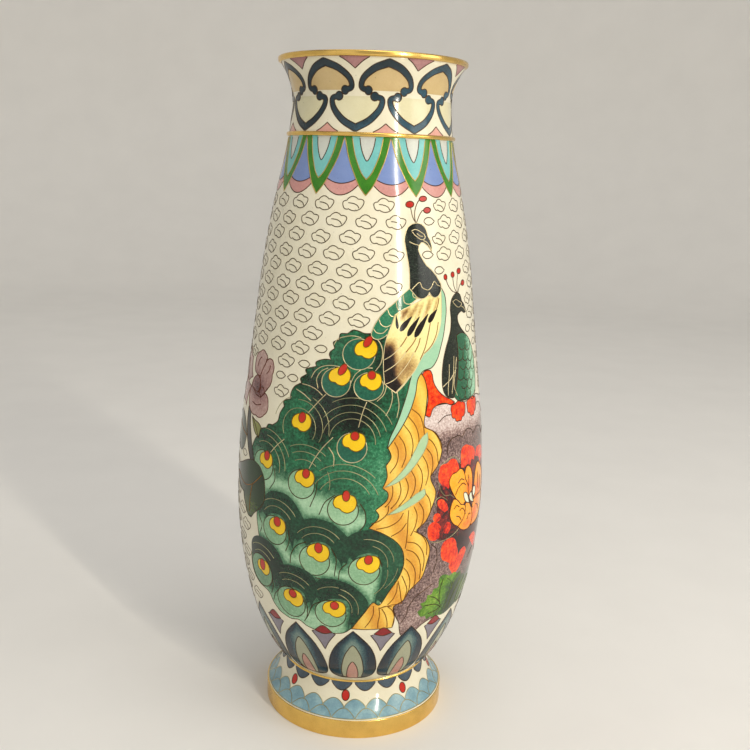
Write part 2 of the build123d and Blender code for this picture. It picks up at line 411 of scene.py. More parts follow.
def train():
    """The big bird's train, from the dark ground and the top eyes down to the lowest row."""
    outline = [(3.6, 192.6), (0, 192.6), (-3, 193.5), (-5.5, 193.8), (-8, 192.2, 1), (-11.5, 191.8),
        (-11.8, 189.4, 1), (-14.6, 188.2), (-13.8, 185.8, 1), (-16.2, 183.6), (-15.2, 180.9, 1),
        (-18.5, 180.9), (-22.6, 179.2), (-22.2, 177.6, 1), (-27.6, 175.6), (-26.6, 173.9, 1),
        (-29.9, 171.6), (-29.2, 169.9, 1), (-33, 167.6), (-34.6, 164), (-34.2, 162.4, 1), (-38.2, 160.6),
        (-37.6, 158.6, 1), (-39.6, 155.4), (-40.6, 151.6), (-43.5, 149.4, 1), (-46.5, 149),
        (-47.6, 147.3, 1), (-51.6, 145.8), (-52.6, 143.4, 1), (-55.6, 140.6), (-57.8, 136.5), (-58.2, 131),
        (-56, 126.5), (-50, 123), (-44, 118), (-20, 100), (8, 84), (16, 84), (20, 104), (22, 130),
        (20, 150), (23, 166), (25, 178), (22, 186), (10, 192)]
    blob("train", outline)
    # wires of the upper train: rings round each eye, stems and the long curved barbs
    lines("light", [(-16.8, 166.4), (-20.5, 162.4), (-24.6, 157.6)],
        [(2.4, 165.5), (0.4, 160.5), (-1.4, 153.6)])
    for ring in ((-4, 147.2, (9.9,), -4, 170), (-4.4, 147.2, (12.6,), 12, 166),
            (-4.4, 147.2, (15.6,), 18, 142), (-4, 147.2, (18.6,), 24, 120), (-28.8, 151, (8.2,), -32, 208),
            (-28.8, 151.4, (11.4,), -28, 96), (-28.8, 151.4, (14.2,), -8, 66),
            (-29.8, 151.4, (12.5,), 108, 166), (-47, 131.5, (9.8,), -16, 120),
            (-47, 131.5, (12.8,), -6, 88), (-47, 131.5, (15.6,), 22, 96),
            (-25, 128.5, (9.2, 12.6, 15.6), 50, 118), (-25, 128.5, (12.4,), -28, 26)):
        rings(*ring)
    lines("light", [(-12.2, 148.8), (-15.2, 145.6), (-17.6, 142.6), (-20.2, 138.4), (-22.6, 133.6)],
        [(-35.8, 144.6), (-39.5, 141.4), (-43.4, 137.2)], [(-14, 144.5), (-11.6, 141), (-11.4, 136.4)])
    for ring in ((-6.5, 119.5, (12.2,), 28, 150), (-6.5, 119.5, (15.4,), 20, 150),
            (-6.5, 119.5, (18.2,), 44, 128)):
        rings(*ring)
    # round the three top eyes
    lines("light", [(-14.5, 187), (-12.6, 189.6), (-9.6, 190.8), (-5.4, 191.4), (-1.6, 190.8)],
        [(4.6, 191.4), (7.6, 188.4), (8.6, 184.6), (7.8, 180.4), (5.4, 177.2)],
        [(-24.4, 172.4), (-22.8, 175.4), (-19.8, 177.6), (-15.6, 178.6), (-11, 178.4)],
        [(-28.9, 169.6), (-25.2, 169.2), (-21.4, 168), (-18.2, 165.8)],
        [(-20.6, 168.4), (-21.6, 172.4), (-19.6, 175.8), (-16.6, 177.4)],
        [(-6.6, 168.6), (-5.4, 172.2), (-3.4, 175.8), (0.4, 178.2), (4.2, 178.4)],
        [(9.6, 176.8), (10.6, 172.4), (9.6, 167.8), (6.4, 164.6)],
        [(12.4, 171.4), (13.4, 166.6), (12.4, 162.2), (10.4, 158.6)],
        [(15.6, 168.2), (16.4, 162.6), (15.4, 157.6)], [(-31.8, 167), (-27.6, 165.4), (-23.6, 163)])
    for disc in ((-2.4, 183.9, 6.7, 6.4), (-12.4, 171.7, 6.2, 6), (2.6, 170.6, 6.2, 5.8),
            (-3.9, 144.9, 6.3, 6.3)):
        area("disc_teal", oval(*disc), "light")
    for spot in ((0.8, 186.1, 8, 1, (1.2, 3), -40, (1.5, 2.6)),
            (-10.9, 174.4, 6, 0.98, (1.6, 2.8), -38, (1.5, 2.7)),
            (3.4, 172.9, 0, 0.95, (0.4, 2.7), 0, (1.7, 1.8)), (-27.6, 153.4, 8, 1, (0.6, 2), -18),
            (-3.2, 147.5, 0, 1.02, (0.4, 2.4), -10, (1.8, 1.9))):
        eye(*spot)
    # the mint under the middle row, with that row's discs and eyes
    blob("mint", [(-55, 137), (-50, 138, 1), (-43.5, 134.6), (-42.6, 131, 1), (-39.8, 132.2),
        (-37.6, 129.2, 1), (-34.8, 131.8), (-33.8, 129, 1), (-31.6, 131), (-28.5, 133.2), (-20.4, 131.4),
        (-19.6, 127, 1), (-17, 124.6), (-15.2, 126), (-14.2, 124.4, 1), (-11.6, 126.4), (-9, 125),
        (-2, 124), (0.4, 121.2), (2.4, 117.4), (2.6, 112.6), (0.4, 108.6), (-3.4, 104, 1), (-20, 100),
        (-45, 106), (-52, 112), (-56, 124.5)], None)
    lines("dark", [(-18.2, 129.6), (-18.6, 124.6), (-21.2, 117.4)],
        [(-10.2, 124.2), (-14.4, 120.6), (-17, 114.6)], [(-40.2, 130.6), (-39.8, 125.6), (-42.8, 120.8)],
        [(0.4, 121), (2.6, 117), (2.6, 112), (0.2, 108.4)])
    for disc in ((-48.2, 130.4, 6.9, 6.6), (-25.8, 126.8, 6.4, 6.3), (-6.8, 117.7, 6.6, 6.6)):
        area("mint_disc", oval(*disc))
    for spot in ((-46.2, 133.2, 6, 0.92, (0.9, 2.2), -20, (1.8, 2.2)),
            (-24.3, 129.7, 4, 0.98, (0.9, 2.1), -18, (1.7, 2.1)),
            (-6.1, 120.8, -2, 1.04, (0.4, 3.2), 0, (1.6, 2.4))):
        eye(*spot)
    upper_caps()
    lower_caps()


def upper_caps():
    """The row of three feathers with dark crowns over mint, across the middle of the train."""
    blob("mint", [(-50.5, 112, 1), (-51.6, 106), (-51, 101), (-50, 96), (-46, 90), (-20, 82), (-4, 80),
        (6, 69), (10.2, 71), (11, 82), (11, 90), (8, 98), (-4, 104), (-30, 112)])
    blob("cap", [(-50.2, 107.4, 1), (-48.8, 111.8), (-45.8, 117), (-41.6, 120.2), (-37, 121),
        (-32.4, 120.6), (-28.4, 117.8), (-25, 113.2), (-23, 110, 1), (-25.4, 103.6), (-26.6, 100.2, 1),
        (-28, 101.6), (-29.4, 96.2, 1), (-31, 100.6), (-33, 105.2, 1), (-34.2, 109.4), (-38, 110.6),
        (-42, 109.6), (-44.6, 107.4, 1), (-46.8, 109)], None)
    lines("dark", [(-31.4, 104.6), (-31.2, 99.6), (-33.2, 94.4)], [(-49.8, 106.8), (-47.6, 103), (-49, 99)])
    blob("cap", [(-27.8, 104.4, 1), (-26.4, 108.6), (-23.8, 111.2), (-19.8, 112.6), (-15.4, 112.6),
        (-11.2, 111.4), (-7.8, 109), (-4.4, 105.8), (-1, 101), (-3.2, 97.2), (-4.6, 93.2, 1), (-5.6, 95),
        (-6.8, 91.4, 1), (-8, 94.6), (-10.4, 97, 1), (-12.2, 101), (-16, 102.4), (-20, 101.4),
        (-22.6, 99.6), (-24.4, 102), (-26.4, 101.2, 1)], None)
    lines("dark", [(-22.6, 101.2), (-27.2, 98.6), (-30.2, 94), (-31, 89.2)],
        [(-11.2, 99.8), (-9.2, 95.6), (-9.9, 86.8)])
    blob("cap", [(-7, 103), (-3.6, 106.6), (0.4, 108.8), (4.6, 109.3), (9, 108.2), (13, 105.6), (16.6, 102),
        (19.6, 97.6), (20.4, 92.6), (19.2, 87.4), (16.4, 82.2), (13.4, 77.4), (11.6, 73.6, 1), (9.8, 75.4),
        (8.2, 72.6, 1), (8.8, 77.6), (10.4, 84), (10.8, 90.4), (9.6, 96.4), (5.4, 98.6), (0.4, 97.4),
        (-1.6, 95), (-3.4, 96.4, 1), (-5.4, 93.6), (-8.6, 98.6)], None)
    line([(-4.6, 93.4), (-7.4, 90), (-8, 85.2)])
    for ring in ((3.6, 92.6, (9.6,), -6, 74), (3.6, 92.6, (12.4,), 6, 96), (3.6, 92.6, (14.4,), -52, -8),
            (1.6, 88.6, (11.8,), -58, 8), (-17.4, 96.4, (9.6, 12.6), 40, 140),
            (-38.4, 104.4, (9.6, 12.8), 34, 142)):
        rings(*ring)
    for disc in ((-39.6, 102.6, 7, 6.6), (-19, 93, 7, 7), (3, 90.1, 6.7, 6.7)):
        area("mint_disc", oval(*disc))
    for spot in ((-37.8, 105.2, 4, 1, (0.2, 1.9), -8, (2, 2.3)),
            (-17.3, 97.2, 0, 1.08, (0.3, 2), 0, (1.8, 2.4)),
            (4.6, 93.3, 0, 1.06, (0.1, 2), -4, (1.8, 2.2))):
        eye(*spot)


def lower_caps():
    """The bottom row of the train."""
    blob("mint", [(-57.6, 88, 1), (-59.6, 82), (-59.2, 76), (-55.2, 72), (-47, 69.6), (-44.4, 65.2),
        (-40.6, 61.6, 1), (-34, 59.9), (-28.8, 60.6), (-24, 58.2), (-16, 57), (-6, 57.6), (-1.9, 60.4, 1),
        (0.4, 66), (-1, 80), (-30, 86)])
    blob("cap", [(-58.6, 86, 1), (-58, 90.4), (-55.6, 94), (-51, 96.4), (-46.4, 96.6), (-42, 95.6),
        (-38, 93), (-35.2, 88.4), (-33, 82), (-38, 76), (-41.4, 74.4, 1), (-42, 77), (-44.4, 73.6, 1),
        (-43.8, 79.4), (-44.6, 84.4), (-49, 86.8), (-53, 85.8), (-56.2, 83.2, 1)], None)
    line([(-43.6, 80), (-42.8, 74.6), (-45, 69.8)])
    blob("cap", [(-44.4, 79, 1), (-42, 83.4), (-38, 86.4), (-32.6, 88), (-26.4, 88.1), (-21.4, 86.8),
        (-19, 84.4), (-17.2, 81, 1), (-17.6, 76), (-20, 72.6), (-21.2, 69.4, 1), (-22.2, 72),
        (-23.6, 70.4, 1), (-24.6, 75.4), (-28.6, 77.4), (-33.4, 76.4), (-37, 73.6, 1), (-40.6, 76.4)], None)
    lines("dark", [(-25, 74), (-23.4, 68.4), (-24.2, 63.4), (-25.6, 61)],
        [(-38.6, 74), (-42.2, 70.4), (-44.2, 66.4)])
    blob("cap", [(-19.6, 78.6, 1), (-18.6, 82), (-16.2, 84.6), (-11.6, 85.4), (-6.6, 84.6), (-2, 82.8),
        (2, 79.4), (5, 75.4), (5.6, 71.8), (3.4, 67.6), (0.8, 63.8), (-1.7, 60.2, 1), (-2.6, 62.4),
        (-3.6, 59, 1), (-3.4, 64.4), (-2.6, 70), (-4.2, 74.6), (-8.6, 75.6), (-13.4, 74.4),
        (-15.6, 71.8, 1), (-18, 74.6)], None)
    line([(-16, 73.4), (-20.4, 70.4), (-23.6, 64), (-25.8, 60.8)])
    for ring in ((-10.4, 70, (8.2, 11), -10, 74), (-10.4, 70, (11.4,), 78, 128),
            (-31.2, 71.4, (9.4, 12.6), 44, 120), (-49.6, 81.2, (8.4, 11.6), 40, 126)):
        rings(*ring)
    for disc in ((-51, 79.4, 7.9, 8), (-32.6, 69.2, 7.6, 7.6), (-12, 67.4, 7, 6.9)):
        area("mint_disc", oval(*disc))
    for spot in ((-49, 81.6, 4, 0.96, (-0.2, 1.2), -12, (1.9, 2.9)),
            (-30.9, 71.9, 2, 1.1, (0.1, 1.8), -6, (2, 2.1)),
            (-10.2, 70.2, 2, 1.08, (0.3, 1.6), -10, (1.9, 2.1))):
        eye(*spot)


# ---------------------------------------------------------------- the bird's body
def golden_feathers():
    """The golden column of scalloped feathers under the bird, in which each feather covers the one below."""
    blob("gold", [(24.8, 176.6), (20.6, 165), (16.4, 155), (11.6, 145, 1), (13, 141.2), (10.8, 137.4, 1),
        (11.4, 132.6), (9.6, 127.8, 1), (11.9, 125.6), (11.6, 122.6), (6.9, 118.2, 1), (8.4, 115.4),
        (4.4, 110, 1), (9.8, 107.8), (16, 103.6), (19.4, 99), (20.4, 92.6), (19, 87), (14.6, 79.4),
        (10.4, 72.8), (7.8, 74.2), (4, 69), (-1.9, 60.2, 1), (5, 59.9), (18.2, 60, 1), (18.6, 66),
        (17.6, 71.2), (22, 74), (24.6, 78.6), (30.2, 84), (32, 90.6), (33, 97.4), (30.2, 103.4),
        (25.6, 107.4), (29.8, 111), (32.4, 116), (34.6, 123.4), (31.8, 130.6), (35.6, 135.4), (38, 143),
        (34.6, 149.6), (28.8, 153.2), (29.6, 160), (30.6, 168), (28.6, 174.4)])
    lines("gold", [(22.6, 161), (26.6, 157.6), (28.2, 152.6), (28.6, 148.4)],
        [(20.4, 158.4), (24.4, 153.4), (25.8, 148), (25.2, 143.6)],
        [(18.6, 154.6), (21.8, 150.4), (22.9, 145.4), (22, 140.2)],
        [(16.4, 150), (18.8, 146.4), (19.6, 141.4), (17.8, 136.4)],
        [(14.4, 147.4), (16, 144), (15.6, 138.6), (12.6, 134.2)],
        [(28.4, 152.8), (33.2, 150.4), (36.4, 146.4), (37.8, 142.2)],
        [(28.6, 148.6), (32.2, 146.4), (34.8, 142.4), (35.8, 136.4)],
        [(29.6, 143.6), (32.2, 140.2), (32.8, 135.4), (31.6, 130.6)],
        [(27.6, 140.6), (29.8, 136.8), (30.4, 131.8), (29.2, 127.4)],
        [(25, 137.4), (27.2, 133.4), (27.4, 128.4), (25.8, 123.8)],
        [(22.2, 134.6), (24, 131), (23.8, 126.2), (21.6, 122)],
        [(19.6, 131.8), (20.9, 128), (19.9, 123.4), (16.8, 119.4)],
        [(16.9, 130.4), (17.6, 126.4), (16.2, 121.8), (13.4, 118.6)],
        [(13.9, 128.6), (14, 125), (12.8, 121.6), (10.8, 119.4)],
        [(28.4, 124.8), (31.2, 121), (32.2, 116.4), (31.6, 113.4)],
        [(26.2, 120.2), (28.4, 116.4), (28.4, 111.6), (26.6, 107.8)],
        [(23.9, 118.6), (25.4, 114.6), (24.8, 109.8), (22.8, 105.4)],
        [(21.4, 117.2), (21.2, 113.2), (21.2, 108.4), (21, 103.4), (20.6, 99.8)],
        [(19, 116.4), (17.4, 113.4), (13.4, 110.8), (7.4, 109.6)],
        [(20.6, 111.6), (18.4, 108.6), (14, 106)], [(12.4, 120), (12, 116.6), (9, 113.6), (5.4, 112)],
        [(24.4, 107.4), (28.4, 104.6), (31, 100.4), (31.4, 95)],
        [(21.2, 102.8), (25.6, 101.4), (28.8, 97.8), (30.4, 93), (30.2, 87.4)],
        [(21.2, 99.2), (24.8, 97.4), (27.8, 93.4), (29, 88.6), (29, 83.6)],
        [(21.4, 94.8), (24, 92.4), (26.2, 88.4), (26.8, 83.6), (26.4, 79.4)],
        [(20.6, 90.6), (22.6, 88), (24.2, 83.6), (24.2, 79.4), (22.8, 75)],
        [(20, 86.8), (21.6, 83.6), (23.2, 79.4), (22.4, 74.6)],
        [(18.4, 84.4), (19.8, 79.8), (20.6, 76), (21.6, 72.4)],
        [(18.2, 83.4), (18.2, 79), (16.6, 75), (14.6, 72.6)], [(21.6, 72.6), (16.8, 72.4), (11, 71.2)],
        [(8, 72.4), (8.2, 68.6), (6.8, 64.4), (4.6, 61)],
        [(10.6, 71.6), (11.2, 67.6), (10.8, 63.6), (11, 60.4)],
        [(12, 70.8), (14, 67.4), (15.2, 63.6), (15.6, 60.4)],
        [(14.4, 72), (17.4, 69), (18.8, 64.6), (18.4, 60.6)], [(11, 71), (13.6, 72), (16.6, 71.4)])
    blob("mint_lance", [(10.4, 128, 1), (15.4, 132.2), (20, 137.2), (23.8, 143.2), (27, 148.2),
        (30.2, 150.4, 1), (30.4, 147), (28.6, 142.8), (25, 138), (20.6, 133.4), (15.8, 129.9)], "fine")
    blob("mint_lance", [(12, 115.8, 1), (16.2, 118.6), (20.4, 121.2), (24.4, 124), (28.8, 126, 1),
        (29.2, 123.4), (26.6, 121.2), (22, 118.9), (17, 116.8)], "fine")


def mint_strip():
    """The pale strip that runs down behind the wing and along the train."""
    blob("mint_strip", [(41.4, 210.6, 1), (43.6, 207.4), (44.2, 201), (43, 195.4), (41.6, 190.6),
        (39.4, 185.6), (37.2, 181.2), (33.6, 177.6), (29, 176.6), (26, 173.6), (24.4, 167), (21.8, 160.4),
        (18.4, 154.6), (14.6, 149.2), (11.2, 144.6, 1), (12.4, 149.2), (15.6, 155.6), (18.2, 162),
        (20.6, 168.4), (22.4, 174.4), (26.8, 184), (36, 198)])


def branch():
    """The red branch at the second bird's feet, and two red blossoms."""
    blob("red", [(27.2, 174.2, 1), (29.6, 176.4), (32.6, 176.4), (33.8, 174.4, 1), (34.4, 171.2),
        (37.2, 167.2), (41, 164.4), (45, 162.6), (47.4, 161.2, 1), (45, 160.3), (41, 161.6), (37, 161.6),
        (33.4, 160), (31.6, 156.8), (29.4, 157.6, 1), (30.2, 161), (31, 165), (30.4, 169.4)])
    for a in (50, 63):
        area("red", lobes([(a - 5.2, 156.6, 1.9), (a - 2.4, 160.2, 0.9), (a + 2.6, 160.3, 1.9),
            (a + 5.4, 156.4, 0.9), (a + 2.6, 153.8, 0.9), (a, 152.6, 0.9), (a - 3, 154.2, 1)]))


def back():
    """The green back between the neck and the wing."""
    blob("emerald", [(22.4, 211.4, 1), (18.3, 208.6), (14.6, 205.6), (11.4, 203.4), (8.3, 200.8),
        (5.7, 197.8), (3.8, 194.6), (3.2, 191.8), (5.2, 190.3), (8.4, 190.8), (11.6, 193.2), (14, 197),
        (22, 204), (28.4, 208.4, 1), (25, 209)], "light")
    lines("light", [(23.6, 210.4), (24, 207.6), (27, 206.8)],
        [(18.5, 208.3), (19.2, 205.4), (21.4, 204.6), (24.2, 205.4)],
        [(14.9, 205.6), (15.8, 202.6), (18.2, 201.6), (21.2, 202.6)],
        [(10.6, 202.8), (12, 200.2), (14.6, 199.6), (17.6, 200.6)],
        [(6.4, 198.8), (7.8, 196.2), (10.4, 195.4), (13, 196.6)],
        [(3.8, 194.8), (5.6, 193), (8.4, 192.8), (10.8, 194.6)])


def wing():
    """The pale wing with black feathers, and the wires between its feathers."""
    blob("wing", [(28, 206, 1), (33, 207.8), (37.4, 208.6), (41, 210.8, 1), (40.9, 204.5), (40.6, 199.5),
        (39.8, 195.4), (38, 191.4), (35.2, 187.8), (32.2, 185.2), (29.4, 183.6), (26.9, 180.6),
        (24.6, 177.4), (21.8, 174.4), (18.6, 171), (15, 168, 1), (12.6, 169.6), (9.7, 171.8, 1),
        (9.2, 176.4), (9, 182), (9.4, 186.6), (10.6, 191.4), (12.6, 196), (14.4, 200.4, 1), (18.4, 202.4),
        (23.6, 204.4)], "light")
    lines("light", [(9.4, 181.8), (13.2, 183.8), (17.2, 187.2)],
        [(9.6, 176.9), (14.2, 179.5), (18.6, 183.2), (19.8, 184.8)],
        [(9.8, 171.6), (14, 173.4), (17.6, 176.6), (21.2, 180.6), (24, 184.6)],
        [(15, 168.4), (18.6, 171.6), (21.4, 174.6)],
        [(15.4, 199.6), (16, 197), (16.8, 194.6), (18.8, 197.6), (20.2, 200)],
        [(23.2, 196.2), (25, 199), (26.2, 202)], [(27.2, 196.8), (29.6, 200.2), (31.4, 203.6)])
    lines("gold", [(17.2, 187.2), (19.4, 189.8), (21, 192.2)],
        [(19.8, 184.8), (23.4, 188.2), (25.2, 190.6)], [(24.4, 184.6), (26.4, 187.6), (27.4, 190.4)],
        [(27.2, 181.4), (30.2, 186.6), (32.2, 192.4), (33.6, 197)],
        [(29.4, 183.8), (33.6, 186.8), (36.8, 191.2), (38.4, 196.4)],
        [(36.8, 200.8), (38.4, 203.6), (39.4, 206.4)])
    for (x0, y0), (x1, y1), w in (((15.8, 194.4), (14.9, 200.4), 0.8), ((16.8, 193.6), (23.2, 199.6), 1.4),
            ((20.6, 191.4), (27.4, 199.4), 1.4), ((24.4, 190.8), (32.4, 200.4), 1.65),
            ((32.2, 196.6), (38, 202), 1.45)):
        n = math.hypot(x1 - x0, y1 - y0)
        u, v = -(y1 - y0) / n, (x1 - x0) / n
        way = [(0, 0), (0.12, 0.75), (0.36, 1), (0.7, 0.6), (1, 0), (0.7, -0.5), (0.36, -0.85),
            (0.12, -0.7)]
        blob("feather_black",
            [(x0 + (x1 - x0) * t + u * w * s, y0 + (y1 - y0) * t + v * w * s) for t, s in way], None)


def head():
    """The big bird's head, neck and crest."""
    blob("plumage_black", [(26.8, 237.6), (30.7, 236.9), (33, 235), (34.1, 232.2), (35.5, 230),
        (36.2, 227.6), (35.7, 225.8, 1), (34.5, 227.3), (32.7, 228.7), (30, 229.7), (28.2, 228.4),
        (27.7, 226.6), (28.4, 224.9), (30.2, 222.4), (31.9, 220.5), (34.6, 218.7), (37.3, 216.6),
        (39.5, 214.2), (41.2, 211.8), (41, 209.4, 1), (39.4, 207.6), (36.8, 206.8), (34.6, 207.6),
        (33.4, 209.2, 1), (32, 207.6), (29, 206.6), (26, 207.4), (24.2, 209), (22, 210.9, 1), (21.9, 218.2),
        (21.2, 222.7), (20.4, 226.6), (19.7, 230.4), (20.3, 233.4), (22.2, 236.2)], "light")
    blob("plumage_black", [(23.9, 234.4, 1), (25.9, 235), (28.2, 234.6), (30, 233.7), (31.6, 233),
        (32.2, 231.9), (31.4, 231), (29.5, 230.9), (28.2, 231.4), (25.9, 232.7)], "light")
    lines("light", [(27, 233.4), (29, 232.4), (31, 232.2)], [(22.3, 230.1), (24.5, 229.3), (28, 228.6)],
        [(30.9, 230.5), (33, 229.8), (34.6, 228.2), (35.8, 226.4)],
        [(23, 210.3), (25, 212), (27.8, 213.4), (29, 211.4), (30.6, 210.6), (32.8, 210.2), (34.6, 211.2),
            (36.8, 213.6), (38.6, 212), (40.6, 211.4)])
    for berry, stem in (((23.6, 245.1, 1.9, 1.3), [(26.6, 237.8), (25, 240), (24, 243.6)]),
            ((32.5, 247.4, 2, 1.1), [(26.6, 237.8), (26.2, 240.4), (26.8, 243.2), (28.8, 246.1),
                (30.2, 247)]),
            ((34.8, 242.8, 1.9, 1.2), [(27.2, 237.8), (29.5, 241), (31.4, 242.6), (32.6, 243)])):
        line(stem)
        area("berry", oval(*berry, 8))


def second_bird():
    """The bird behind, with rows of scales on its wing."""
    blob("second_neck", [(53.8, 207.8), (57, 206.6), (58.6, 203.8), (60.6, 202.4), (62.8, 199, 1),
        (60.4, 198.6), (57.6, 199.6), (55, 199), (53.4, 197.8), (53.6, 195.4), (55.4, 193), (58.2, 190.8),
        (61.2, 189, 1), (57, 184), (52.4, 176), (49.8, 163.6, 1), (45.8, 163.2), (41.8, 164.6), (39.8, 168),
        (39.6, 173.4), (40.6, 179.2), (42.4, 184), (44.8, 188.4), (46.8, 192.4), (47.6, 197), (47.4, 201.4),
        (49, 205.6)])
    blob("second_green", [(61, 189.2, 1), (65, 186.4), (68.8, 181.6), (70.6, 176), (71, 169),
        (69.4, 162.4, 1), (64, 160.9), (57, 160.6), (50, 161.4), (47.4, 163.4, 1), (50.2, 170), (51.8, 177),
        (52.2, 184), (51.6, 189.6, 1), (56, 190.4)])
    for row in range(6):
        for k in range(3):
            x, y = 56.6 + 5.6 * k - 2.8 * (row % 2), 185.6 - 4.3 * row - 0.8 * k
            if x < 69.5 - 0.3 * abs(y - 174):
                line(oval(x, y, 2.9, 2.9, 20, 185, 355), smooth=False)
    lines("light", [(48.6, 181), (48, 176), (47.2, 171), (45.8, 165)],
        [(44.8, 178), (44.4, 173), (43.4, 168), (43.2, 164.6)],
        [(39.8, 168.6), (42.6, 170), (45.4, 171.4), (48.6, 174.2)],
        [(49.8, 163.6), (47.6, 168.2), (49.2, 174.4), (50.6, 180.4)])
    blob("plumage_black", [(49.6, 204.2, 1), (52.6, 205), (55.4, 204), (58.2, 202.8), (56.2, 201.6),
        (53.6, 201.8)], "light")
    line([(58, 201.6), (60.2, 200.8), (62.4, 199.2)], "light")
    for berry, stem in (
            ((44.8, 215, 1.1, 1.2), [(53.6, 207.8), (49.8, 208.8), (46.6, 211.4), (45.2, 213.8)]),
            ((50.9, 215.7, 1.3, 1.2), [(53.8, 207.8), (51.6, 210.4), (50.8, 214.4)]),
            ((57.2, 216.9, 1.8, 1.2), [(54.2, 207.8), (54.4, 211.6), (55.8, 215.8)]),
            ((60.8, 211.6, 1.7, 1.2), [(54.8, 207.8), (57, 210.6), (59.2, 211.6)])):
        line(stem)
        area("berry", oval(*berry, 8))


# ---------------------------------------------------------------- rock, flowers and leaves
def rock():
    """The speckled rock that the birds stand on, with its cracks."""
    blob("rock", [(27.6, 158.8, 1), (31, 159.4), (35, 161), (40, 161.4), (46, 160.8), (54, 160),
        (62, 160.2), (70, 160.8), (77, 159), (84, 157.8), (90, 154.4, 1), (95.4, 152), (98.4, 147.6),
        (97.6, 142.4, 1), (102, 139.4), (103.6, 133.4), (101, 127.6, 1), (105.2, 123.6), (106, 117.4),
        (102.6, 111.6, 1), (106.4, 107.4), (106, 100.6), (101.6, 96.2, 1), (104.8, 90.6), (103, 83.6),
        (98.4, 80.4, 1), (99.6, 73.6), (96.4, 68), (90, 65.6, 1), (84, 62.6), (72, 60.8), (58, 60.6),
        (44, 60.2), (36, 58.4), (31.6, 55.4), (27.6, 53.6), (24, 54.6), (22.4, 58), (21.4, 62), (19.2, 66),
        (17.4, 71.2), (14, 90), (20, 110), (22, 130), (24, 150)])
    lines("dark",
        [(41.2, 139), (41.6, 143), (44.6, 145.8, 1), (49.6, 146), (52, 144.8, 1), (55, 147.4), (60, 147),
            (62.6, 144.4, 1), (68, 146.4), (74, 144.6), (77, 141, 1), (83, 142.6), (89, 139.6)],
        [(36, 153.6), (40.4, 156), (46, 155.6), (49, 153)],
        [(66, 155), (71.4, 156.8), (77.6, 154.4), (82, 150)],
        [(34.4, 122), (37, 119.8), (41.6, 120.3), (46.6, 118.4)],
        [(33.4, 99.6), (36.4, 97), (37.6, 91.6), (36.4, 85)],
        [(25.4, 70.4), (28.4, 74.6), (33.4, 77.4), (37.6, 79.4)], [(22.6, 62), (24.8, 65.8), (25, 70.4)],
        [(84, 128), (88.6, 122), (88, 113.4)], [(82, 98), (87, 93), (86.8, 85), (83.4, 78.4)],
        [(64, 84), (69, 87.6), (75, 86.6), (78.4, 82)])


